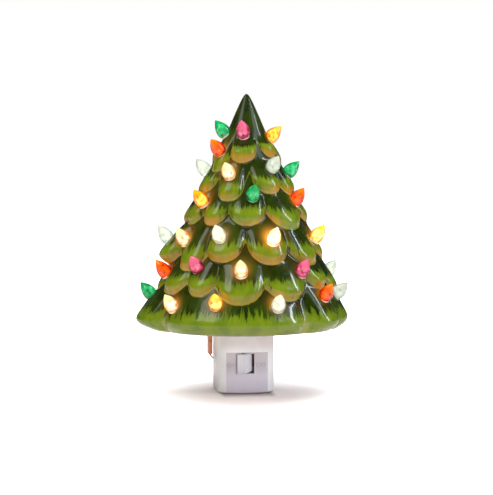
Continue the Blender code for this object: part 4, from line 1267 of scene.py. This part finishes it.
@dataclass
class PinLights:
    """All pin lights. One node tree sets a moulded pin on each point of a colour's mesh."""

    head_radius: float = 4.1
    head_length: float = 12.0
    stem_radius: float = 1.5
    stem_length: float = 6.5
    stem_chamfer: float = 0.5
    stem_end: float = 0.7
    sides: int = 32
    rings: int = 44
    lights: dict[int, Light] = field(default_factory=lambda: {
        1: Light.DARK, 2: Light.DIM, 3: Light.LIT, 4: Light.LIT, 5: Light.DIM, 6: Light.LIT,
        7: Light.DIM, 8: Light.DARK, 9: Light.DARK, 10: Light.LIT, 11: Light.LIT, 12: Light.DIM,
        13: Light.LIT, 14: Light.LIT, 15: Light.BLAZING, 16: Light.LIT, 17: Light.LIT,
        18: Light.DIM, 19: Light.LIT, 20: Light.DIM, 21: Light.DIM, 22: Light.DARK,
        23: Light.LIT, 24: Light.LIT, 25: Light.LIT, 26: Light.LIT, 27: Light.DARK,
    })
    finishes: tuple[PinFinish, ...] = (
        PinFinish("green", "10c466", "007838", "60f0a4", "08ac58"),
        PinFinish("pink", "ee2868", "86083c", "ff94b0", "ff6c94"),
        PinFinish("amber", "ff9404", "c44400", "ffd850", "ffc820"),
        PinFinish("red", "dc1204", "840000", "ff5c10", "ff8008", shine=1.1),
        PinFinish("orange", "fb7404", "b43400", "ffd850", "ffb40c", shine=1.15),
        PinFinish("yellow", "ffb808", "e06800", "fff48c", "ffe040", shine=1.3),
        PinFinish("white", "ffd888", "e8782c", "fffbd0", "ffefb0", glass=0.15),
        PinFinish("clear", "f0faf2", "b8d0c4", "fffbd8", "f8fce8", glass=0.55),
    )

    def shape_points(self) -> list[tuple[float, float]]:
        """The pin's profile.

        Returns:
            Places along the pin as shares of its length, with its radius there as a share of the
            widest.
        """
        total = self.stem_length + self.head_length
        stem = self.stem_radius / self.head_radius
        profile = [
            (-self.stem_length, stem * self.stem_end),
            (-self.stem_length + self.stem_chamfer, stem), (-0.35, stem),
            (-0.1, 0.72), (0.35, 0.86), (0.8, 0.88), (1.1, 0.84), (1.6, 0.9), (2.6, 0.97),
            (4.0, 1.0), (5.4, 0.95), (6.8, 0.85), (8.2, 0.69), (9.4, 0.51), (10.5, 0.32),
            (11.3, 0.17), (11.8, 0.08), (12.0, 0.005),
        ]
        return [((z + self.stem_length) / total, r) for z, r in profile]

    def radius(self, nodes: Nodes, along: bpy.types.NodeSocket) -> Amount:
        """Adds the curve that gives the pin's radius as a share of the widest.

        Args:
            nodes: The node tree.
            along: Output with the share of the pin's length.

        Returns:
            The curve's output.
        """
        shape = nodes.add("ShaderNodeFloatCurve", {"Value": along})
        curve = shape.mapping.curves[0]
        points = self.shape_points()
        curve.points[0].location = points[0]
        curve.points[1].location = points[-1]
        for place in points[1:-1]:
            curve.points.new(*place)
        for point in curve.points:
            point.handle_type = "AUTO_CLAMPED"
        shape.mapping.update()
        return Amount(nodes, shape.outputs[0])

    def node_tree(self) -> bpy.types.NodeTree:
        """Builds the node tree: a turned pin, set upright on each point along its own direction.

        Returns:
            The tree, with named inputs for the pin's sizes, its fineness and its finish.
        """
        tree = bpy.data.node_groups.new("set_pins", "GeometryNodeTree")
        tree.interface.new_socket("Geometry", in_out="OUTPUT", socket_type="NodeSocketGeometry")
        sockets = {
            "Geometry": "Geometry", "Head Radius": "Float", "Length": "Float",
            "Stem Length": "Float", "Sides": "Int", "Rings": "Int", "Finish": "Material",
        }
        for name, kind in sockets.items():
            tree.interface.new_socket(name, in_out="INPUT", socket_type=f"NodeSocket{kind}")
        nodes = Nodes(tree)
        given = nodes.add("NodeGroupInput").outputs
        stem = Amount(nodes, given["Stem Length"])
        lower = nodes.add("ShaderNodeCombineXYZ", {"Z": stem * -1.0})
        head = Amount(nodes, given["Length"]) - stem
        upper = nodes.add("ShaderNodeCombineXYZ", {"Z": head})
        ends = {"Start": lower.outputs[0], "End": upper.outputs[0]}
        line = nodes.add("GeometryNodeCurvePrimitiveLine", ends)
        inputs = {"Curve": line.outputs[0], "Count": given["Rings"]}
        finer = nodes.add("GeometryNodeResampleCurve", inputs)
        along = nodes.add("GeometryNodeSplineParameter").outputs["Factor"]
        inputs = {"Geometry": finer.outputs[0], "Name": "along", "Value": along}
        marked = nodes.add(
            "GeometryNodeStoreNamedAttribute", inputs, data_type="FLOAT", domain="POINT"
        )
        inputs = {"Radius": 1.0, "Resolution": given["Sides"]}
        ring = nodes.add("GeometryNodeCurvePrimitiveCircle", inputs)
        pin = nodes.add("GeometryNodeCurveToMesh", {
            "Curve": marked.outputs[0], "Profile Curve": ring.outputs[0],
            "Scale": self.radius(nodes, along) * given["Head Radius"], "Fill Caps": True,
        })
        turn = nodes.add("GeometryNodeInputNamedAttribute", {"Name": "turn"}, data_type="FLOAT_VECTOR")
        rotate = nodes.add("FunctionNodeEulerToRotation", {0: turn.outputs["Attribute"]})
        put = nodes.add("GeometryNodeInstanceOnPoints", {
            "Points": given["Geometry"], "Instance": pin.outputs[0], "Rotation": rotate.outputs[0],
        })
        real = nodes.add("GeometryNodeRealizeInstances", {"Geometry": put.outputs[0]})
        smooth = nodes.add("GeometryNodeSetShadeSmooth", {"Geometry": real.outputs[0]})
        inputs = {"Geometry": smooth.outputs[0], "Material": given["Finish"]}
        dressed = nodes.add("GeometryNodeSetMaterial", inputs)
        nodes.add("NodeGroupOutput", {"Geometry": dressed.outputs[0]})
        return tree

    def find(self, nodes: dict[str, bpy.types.Object]) -> list[PinLight]:
        """Reads each pin light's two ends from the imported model.

        Args:
            nodes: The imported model's objects by name.

        Returns:
            The pin lights in the order of their numbers.
        """
        found = []
        for name in sorted(n for n in nodes if n.startswith("pin_")):
            mesh = nodes[name].data
            spots = np.zeros(len(mesh.vertices) * 3)
            mesh.vertices.foreach_get("co", spots)
            spots = np.unique(np.round(spots.reshape(-1, 3), 6), axis=0)
            apart = np.linalg.norm(spots[:, None] - spots[None], axis=2)
            ends = spots[list(np.unravel_index(np.argmax(apart), apart.shape))]
            low, tip = (Vector(end) for end in sorted(ends, key=lambda end: end[2]))
            axis = (tip - low).normalized()
            light = self.lights[int(name.split("_")[1])]
            found.append(PinLight(name, tip - axis * self.head_length * MM, tip, light))
        return found

    def build(self, pins: Sequence[PinLight]) -> None:
        """Builds one piece for each colour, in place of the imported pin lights.

        Args:
            pins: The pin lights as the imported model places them.
        """
        tree = self.node_tree()
        sockets = {s.name: s.identifier for s in tree.interface.items_tree if s.in_out == "INPUT"}
        for finish in self.finishes:
            own = [pin for pin in pins if pin.colour == finish.name]
            mesh = bpy.data.meshes.new(f"pins_{finish.name}")
            mesh.from_pydata([pin.foot for pin in own], [], [])
            mesh.attributes.new("turn", "FLOAT_VECTOR", "POINT")
            mesh.attributes.new("lit", "FLOAT", "POINT")
            for number, pin in enumerate(own):
                axis = (pin.tip - pin.foot).normalized()
                turn = axis.to_track_quat("Z", "Y").to_euler()
                mesh.attributes["turn"].data[number].vector = turn
                mesh.attributes["lit"].data[number].value = pin.light.value
            item = make_object(f"pins_{finish.name}", mesh)
            maker = item.modifiers.new("pins", "NODES")
            maker.node_group = tree
            values = {
                "Head Radius": self.head_radius * MM,
                "Length": (self.head_length + self.stem_length) * MM,
                "Stem Length": self.stem_length * MM,
                "Sides": self.sides, "Rings": self.rings, "Finish": finish.build(),
            }
            for name, value in values.items():
                maker[sockets[name]] = value
            settle(item)
            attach(item, "shade")
            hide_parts(*[pin.node for pin in own])
            log.info("%s: %d pins, %d faces", item.name, len(own), len(item.data.polygons))


@dataclass
class ShadeClip:
    """The copper spring under the tree: a horseshoe band, and two legs that grip the housing. The
    sprung left leg is a wide plate below the tree, with a folded front edge and a turned-in toe."""

    centre_y: float = -13.2
    back_y: float = -2.5
    band_low: float = 19.3
    thickness: float = 1.1
    band_outer: float = 21.6
    band_inner: float = 16.9
    band_steps: int = 60
    left_x: float = -20.45
    right_x: float = 18.05
    neck_front: float = -7.5
    plate_front: float = -12.1
    neck_z: float = 14.6
    plate_z: float = 12.6
    bend_z: float = -2.0
    right_drop: float = 2.4
    toe: tuple[float, float] = (-18.33, -4.4)
    toe_setback: float = 1.0
    hem_width: float = 0.95
    hem_depth: float = 0.9
    hem_overlap: float = 0.05
    hem_margin: float = 0.3
    softness: float = 0.12

    def strip(self, stations: Sequence[tuple[float, float, float]]) -> bpy.types.Mesh:
        """A flat strip that hangs along a path, with its width from front to back.

        Args:
            stations: x, z and front y down the path, in millimetres.

        Returns:
            The closed mesh.
        """
        verts, faces = [], []
        for x, z, front in stations:
            left, right = x - self.thickness / 2, x + self.thickness / 2
            corners = ((left, front), (right, front), (right, self.back_y), (left, self.back_y))
            verts += [(a * MM, b * MM, z * MM) for a, b in corners]
        for row in range(len(stations) - 1):
            for i in range(4):
                j = (i + 1) % 4
                faces.append((row * 4 + i, row * 4 + 4 + i, row * 4 + 4 + j, row * 4 + j))
        last = 4 * (len(stations) - 1)
        faces += [(0, 1, 2, 3), (last + 3, last + 2, last + 1, last)]
        mesh = bpy.data.meshes.new("strip")
        mesh.from_pydata(verts, [], faces)
        return mesh

    def band(self) -> bpy.types.Mesh:
        """The flat horseshoe that lies on the tree's floor, round the socket.

        Returns:
            The closed mesh.
        """
        centre = (0, self.centre_y)
        outline = [(-self.band_outer, self.back_y)]
        outline += arc(centre, self.band_outer, 180, 360, self.band_steps)
        outline += [(self.band_outer, self.back_y), (self.band_inner, self.back_y)]
        outline += arc(centre, self.band_inner, 360, 180, self.band_steps)
        outline += [(-self.band_inner, self.back_y)]
        return prism(outline, self.band_low, self.band_low + self.thickness)

    def legs(self) -> tuple[bpy.types.Mesh, bpy.types.Mesh, bpy.types.Mesh]:
        """The two legs, and the folded front edge of the left one.

        Returns:
            The left leg, its fold and the right leg, as closed meshes.
        """
        top = self.band_low + self.thickness / 2
        toe_x, toe_z = self.toe
        x, neck, plate = self.left_x, self.neck_front, self.plate_front
        shoulder = (x, (self.neck_z + self.plate_z) / 2, (neck + plate) / 2)
        left = self.strip([
            (x, top, neck), (x, self.neck_z, neck), shoulder, (x, self.plate_z, plate),
            (x, self.bend_z, plate), (toe_x, toe_z, plate + self.toe_setback),
        ])
        hem_x = x + self.thickness / 2 + self.hem_width / 2 - self.hem_overlap
        hem = block(
            (hem_x - self.hem_width / 2, plate, self.bend_z + self.hem_margin),
            (hem_x + self.hem_width / 2, plate + self.hem_depth, self.plate_z - self.hem_margin),
        )
        right = self.strip([
            (self.right_x, top, neck), (self.right_x, self.bend_z - self.right_drop, neck),
        ])
        return left, hem, right

    def build(self, node: bpy.types.Object, finish: bpy.types.Material) -> None:
        """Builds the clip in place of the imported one.

        Args:
            node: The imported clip.
            finish: Its material.
        """
        item = make_object("clip_spring", self.band(), finish)
        combine(item, Solid.JOIN, self.legs())
        soften_edges(item, self.softness)
        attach(item, node["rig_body"])
        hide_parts(node.name)
        log.info("clip: %d faces", len(item.data.polygons))


@dataclass
class SwitchKnob:
    """The switch's knob: a left flat, a raised ridge, and a right side that falls away into the
    window, on an upright pivot pin. Its plan is given about its pivot, and its two round sides by
    their angles and number of steps."""

    pivot: tuple[float, float] = (-1.4, -23.9)
    low: float = -11.78
    high: float = -0.22
    radius: float = 5.1
    front: tuple = (
        (-4.42, -2.55), (-0.95, -2.95), (-0.72, -3.38), (-0.35, -3.5), (0.02, -3.38), (0.28, -2.9),
        (3.5, -1.25), (4.72, 0.6),
    )
    right_turn: tuple[float, float, int] = (30, 70, 8)
    left_turn: tuple[float, float, int] = (110, 195, 16)
    nose: tuple[float, float] = (0.8, 6.2)
    pin_radius: float = 0.6
    pin_length: float = 1.6
    pin_sides: int = 20
    foot_rise: float = 1.5
    foot_start: float = 0.3
    foot_touch: float = 0.01
    softness: float = 0.14
    edge_angle: float = 32.0

    def body(self) -> bpy.types.Mesh:
        """The knob without its pin, with a foot that rises to the right.

        Returns:
            The closed mesh.
        """
        half, reach = self.nose
        outline = list(self.front) + arc((0, 0), self.radius, *self.right_turn)
        outline += [(half, reach), (-half, reach)] + arc((0, 0), self.radius, *self.left_turn)
        mesh = prism([(x + self.pivot[0], y + self.pivot[1]) for x, y in outline], self.low, self.high)
        limit = self.radius - self.foot_start
        for vertex in mesh.vertices:
            across = vertex.co.x / MM - self.pivot[0] - self.foot_start
            if vertex.co.z / MM < self.low + self.foot_touch and across > 0:
                vertex.co.z += self.foot_rise * across / limit * MM
        return mesh

    def build(self, node: bpy.types.Object, finish: bpy.types.Material) -> None:
        """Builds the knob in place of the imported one.

        Args:
            node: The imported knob.
            finish: Its material.
        """
        item = make_object("switch_knob", self.body(), finish)
        work = bmesh.new()
        work.from_mesh(item.data)
        caps = [face for face in work.faces if len(face.verts) > 4]
        bmesh.ops.triangulate(work, faces=caps)
        middle = Vector((*self.pivot, (self.high + self.low) / 2)) * MM
        bmesh.ops.create_cone(
            work, cap_ends=True, segments=self.pin_sides, radius1=self.pin_radius * MM,
            radius2=self.pin_radius * MM, depth=(self.high - self.low + 2 * self.pin_length) * MM,
            matrix=Matrix.Translation(middle),
        )
        work.to_mesh(item.data)
        work.free()
        soften_edges(item, self.softness, self.edge_angle)
        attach(item, node["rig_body"])
        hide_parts(node.name)
        log.info("switch knob: %d faces", len(item.data.polygons))


@dataclass
class PlainPieces:
    """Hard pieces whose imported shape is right. Each gets softened edges and its finish."""

    finishes: dict[str, AnyFinish] = field(default_factory=lambda: {
        "white_plastic": HousingFinish(),
        "rocker_plastic": PlasticFinish("rocker_plastic", "d8d8e0", "cccdd8", 0.26, 0.5),
        "socket_plastic": PlasticFinish("socket_plastic", "dedad2", "d2ccc2", 0.5, 0.1),
        "copper_spring": MetalFinish("copper_spring", "d08c68", "98563a", 0.38),
        "brass": MetalFinish("brass", "d8b068", "a8803e", 0.24),
        "plated_steel": MetalFinish("plated_steel", "c8c8ca", "9a9a9c", 0.28),
        "solder": MetalFinish("solder", "b4b4b4", "8a8a88", 0.42, (1.0, 1.0, 1.0)),
        "black_glass": GlassFinish("black_glass", "0c0c0d", 0.0, 0.1),
        "clear_glass": GlassFinish("clear_glass", "f4f8f4", 0.95, 0.02),
        "tungsten": WireFinish(),
    })
    special: dict[str, ShadeClip | SwitchKnob] = field(default_factory=lambda: {
        "switch_rocker": SwitchKnob(), "shade_clip": ShadeClip(),
    })
    softness: dict[str, float] = field(default_factory=lambda: {
        "front_housing": 0.35, "rear_cover": 0.3, "blade_hot": 0.25, "blade_neutral": 0.25,
        "socket_collar": 0.25, "cover_screw": 0.12,
        "neutral_strip": 0.1, "hot_contact": 0.1, "switch_leaf": 0.1, "socket_sleeve": 0.1,
    })
    edge_angle: float = 38.0
    sharp_spare: float = 12.0
    flat_angle: float = 0.3
    join_distance: float = 0.001

    def soften(self, node: bpy.types.Object, name: str) -> bpy.types.Object:
        """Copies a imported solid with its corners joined, and rounds its edges.

        Args:
            node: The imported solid.
            name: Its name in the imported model.

        Returns:
            The copy.
        """
        mesh = node.data.copy()
        mesh.materials.clear()
        work = bmesh.new()
        work.from_mesh(mesh)
        bmesh.ops.remove_doubles(work, verts=work.verts, dist=self.join_distance * MM)
        bmesh.ops.dissolve_limit(
            work, angle_limit=math.radians(self.flat_angle), verts=work.verts, edges=work.edges
        )
        work.to_mesh(mesh)
        work.free()
        item = make_object(f"{name}_piece", mesh)
        soften_edges(item, self.softness.get(name, 0.0), self.edge_angle, self.sharp_spare)
        return item

    def build(self, frame: dict) -> dict[str, bpy.types.Material]:
        """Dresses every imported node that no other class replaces.

        Args:
            frame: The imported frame, with its record and its nodes.

        Returns:
            The material built for each slot.
        """
        built: dict[str, bpy.types.Material] = {}
        for part in frame["record"]["subparts"]:
            name, slot = part["node"], part["material_slot"]
            if slot not in self.finishes:
                continue
            if slot not in built:
                built[slot] = self.finishes[slot].build()
            node = frame["nodes"][name]
            if name in self.special:
                self.special[name].build(node, built[slot])
                continue
            item = self.soften(node, name)
            item.data.materials.append(built[slot])
            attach(item, node["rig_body"])
            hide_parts(name)
            log.info("%s: %s", name, slot)
        return built


@dataclass
class PanelWords:
    """The two raised words beside the switch, with the x and z of each one's middle."""

    panel_y: float = -25.2
    height: float = 2.7
    size_of_height: float = 1.35
    raise_by: float = 0.22
    bevel: float = 0.04
    sunk: float = 0.03
    words: tuple[tuple[str, float, float], ...] = (("ON", -9.5, -6.9), ("OFF", 8.3, -6.9))

    def build(self, finish: bpy.types.Material) -> None:
        """Sets both words on the panel.

        Args:
            finish: Their material.
        """
        out = self.panel_y - self.raise_by / 2 + self.sunk
        for word, x, z in self.words:
            name = f"word_{word.lower()}"
            data = bpy.data.curves.new(name, "FONT")
            data.body = word
            data.size = self.height * MM * self.size_of_height
            data.extrude = self.raise_by * MM / 2
            data.bevel_depth = self.bevel * MM
            data.align_x = "CENTER"
            data.align_y = "CENTER"
            text = put_in_scene(name, data)
            mesh = finished_mesh(text)
            bpy.data.objects.remove(text)
            upright = Matrix.Rotation(math.pi / 2, 4, "X")
            mesh.transform(Matrix.Translation((x * MM, out * MM, z * MM)) @ upright)
            item = make_object(name, mesh, finish)
            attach(item, "base")
            log.info("word %s", word)


@dataclass(frozen=True)
class SoftBox:
    """A soft rectangular lamp that faces the object, in metres and watts. Glossy surfaces mirror it
    only where mirrored says so."""

    name: str
    place: Place
    size: tuple[float, float]
    power: float
    tint: str
    mirrored: bool = True
    aim: Place = (0.0, -0.02, 0.06)

    def build(self) -> None:
        """Adds the lamp to the scene."""
        data = bpy.data.lights.new(self.name, "AREA")
        data.shape = "RECTANGLE"
        data.size, data.size_y = self.size
        data.energy = self.power
        data.color = linear(self.tint)[:3]
        item = put_in_scene(self.name, data)
        item.location = self.place
        away = Vector(self.place) - Vector(self.aim)
        item.rotation_euler = away.to_track_quat("Z", "Y").to_euler()
        item.visible_glossy = self.mirrored


@dataclass(frozen=True)
class PaperFinish:
    """The studio's pale floor, in metres. Its painted darker middle and the brightness that it shows to
    the camera, lower near the object, make up the object's wide shadow, partly cast by the lamps and
    partly painted, and a painted contact shadow is darkest where the housing stands."""

    light: str = "fcf8f6"
    shade: str = "f6f1ef"
    shadow: str = "eee6e7"
    contact: str = "7c6a66"
    speck_size: float = 500.0
    speck_share: float = 0.2
    shadow_middle: tuple[float, float] = (0.0, -0.035)
    shadow_half: tuple[float, float] = (0.059, 0.088)
    shadow_span: Span = (0.25, 1.55)
    shadow_glow: float = 0.07
    foot_half: float = 0.0135
    foot_front: float = -0.0244
    contact_reach: float = 0.016
    side_squeeze: float = 4.0
    contact_share: float = 0.7

    def build(self) -> bpy.types.Material:
        """Builds the material.

        Returns:
            The new material.
        """
        mat = Pattern("floor_paper")
        speck = mat.noise(mat.place(), self.speck_size)
        x, y, _ = mat.position()
        # Painted shadow: the floor's colour and its brightness to the camera are lower in an ellipse
        # round the object.
        across = ((x - self.shadow_middle[0]) / self.shadow_half[0]) ** 2.0
        along = ((y - self.shadow_middle[1]) / self.shadow_half[1]) ** 2.0
        far = (across + along).root().step(*self.shadow_span)
        paper = mat.mix(speck * self.speck_share, self.light, self.shade)
        paper = mat.mix(far, self.shadow, paper)
        # Painted contact shadow: the floor turns dark close to the housing's foot.
        aside = (abs(x) - self.foot_half).or_more(0.0) * self.side_squeeze
        ahead = (self.foot_front - y).or_more(y).or_more(0.0)
        close = (aside ** 2.0 + ahead ** 2.0).root().step(self.contact_reach, 0.0)
        ray = mat.amount("ShaderNodeLightPath", "Is Camera Ray")
        level = far * (1.0 - self.shadow_glow) + self.shadow_glow
        mat.set({
            "Base Color": mat.mix(close * self.contact_share, paper, self.contact),
            "Roughness": 0.6,
            "Specular IOR Level": 0.25,
            "Emission Color": "ffffff",
            "Emission Strength": ray * (level * (1.0 - close)),
        })
        return mat.material


@dataclass
class Studio:
    """White floor and surroundings, soft lights and the camera at the photograph's angle. The
    nearest and the farthest that the camera sees are in metres."""

    azimuth: float = -8.5
    elevation: float = 4.5
    distance: float = 1000.0
    target: Place = (0.0, -22.0, 62.7)
    focal_pixels: float = 1695.0
    picture_width: int = 493
    sensor_width: float = 36.0
    nearest: float = 0.05
    farthest: float = 50.0
    floor_z: float = -24.05
    floor_depth: float = 20.0
    floor_half: float = 6000.0
    backdrop_span: Span = (0.05, 0.95)
    backdrop_levels: Span = (0.06, 0.22)
    gloss_dimming: float = 0.6
    lamps: tuple[SoftBox, ...] = (
        SoftBox("key", (-0.72, -0.62, 1.05), (0.8, 0.8), 6.5, "fffaf4", mirrored=False),
        SoftBox("key_window", (-0.66, -0.57, 0.97), (0.5, 0.65), 3.6, "f8fbf4"),
        SoftBox("fill", (0.85, -0.8, 0.8), (0.55, 0.6), 1.6, "e8efff", mirrored=False),
        SoftBox("fill_window", (0.78, -0.73, 0.74), (0.2, 0.42), 0.9, "d4e2ff"),
        SoftBox("side_strip", (0.8, -0.35, 0.45), (0.06, 0.7), 3.5, "eef3ff"),
        SoftBox("front", (-0.25, -1.4, 0.1), (1.0, 0.7), 8.2, "ffffff", mirrored=False),
        SoftBox("top", (0.05, -0.15, 1.1), (1.0, 0.8), 11.0, "ffffff", mirrored=False),
    )

    def camera(self) -> None:
        """Sets the camera at the photograph's angle."""
        data = bpy.data.cameras.new("camera")
        data.sensor_fit = "HORIZONTAL"
        data.sensor_width = self.sensor_width
        data.lens = self.focal_pixels * self.sensor_width / self.picture_width
        data.clip_start = self.nearest
        data.clip_end = self.farthest
        item = put_in_scene("camera", data)
        az, el = math.radians(self.azimuth), math.radians(self.elevation)
        back = Vector((math.sin(az) * math.cos(el), -math.cos(az) * math.cos(el), math.sin(el)))
        target = Vector(self.target) * MM
        item.location = target + back * self.distance * MM
        item.rotation_euler = back.to_track_quat("Z", "Y").to_euler()
        bpy.context.scene.camera = item

    def floor(self) -> None:
        """Adds the floor."""
        low = (-self.floor_half, -self.floor_half, self.floor_z - self.floor_depth)
        mesh = block(low, (self.floor_half, self.floor_half, self.floor_z))
        make_object("floor", mesh, PaperFinish().build())

    def sky(self) -> None:
        """Sets the surroundings: pure white for the camera, soft light for everything else."""
        world = bpy.data.worlds.new("studio")
        bpy.context.scene.world = world
        world.use_nodes = True
        nodes = Nodes(world.node_tree)
        rays = nodes.add("ShaderNodeLightPath").outputs
        place = nodes.add("ShaderNodeTexCoord").outputs["Generated"]
        parts = nodes.add("ShaderNodeSeparateXYZ", {0: place}).outputs
        (start, full), (least, most) = self.backdrop_span, self.backdrop_levels
        behind = nodes.amount("ShaderNodeMapRange", 0, {
            "Value": parts["Y"], "From Min": start, "From Max": full, "To Min": least, "To Max": most,
        }, interpolation_type="SMOOTHSTEP")
        dimmed = nodes.maths("MULTIPLY_ADD", rays["Is Glossy Ray"], -self.gloss_dimming, 1.0)
        inputs = {"Color": "ffffff", "Strength": behind * dimmed}
        soft = nodes.add("ShaderNodeBackground", inputs)
        white = nodes.add("ShaderNodeBackground", {"Color": "ffffff"})
        seen = nodes.maths("MAXIMUM", rays["Is Camera Ray"], rays["Is Transmission Ray"])
        inputs = {0: seen, 1: soft.outputs[0], 2: white.outputs[0]}
        both = nodes.add("ShaderNodeMixShader", inputs)
        nodes.add("ShaderNodeOutputWorld", {"Surface": both.outputs[0]})

    def build(self) -> None:
        """Builds the whole studio."""
        bpy.context.scene.view_settings.view_transform = "Standard"
        self.camera()
        self.floor()
        self.sky()
        for lamp in self.lamps:
            lamp.build()
        log.info("studio ready")


def main() -> None:
    """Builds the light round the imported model."""
    logging.basicConfig(level=logging.INFO, format="%(message)s")
    for item in list(bpy.data.objects):
        bpy.data.objects.remove(item, do_unlink=True)
    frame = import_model()
    Studio().build()
    pins = PinLights()
    found = pins.find(frame["nodes"])
    pins.build(found)
    CeramicTree().build(found)
    built = PlainPieces().build(frame)
    PanelWords().build(built["white_plastic"])


if __name__ == "__main__":
    main()
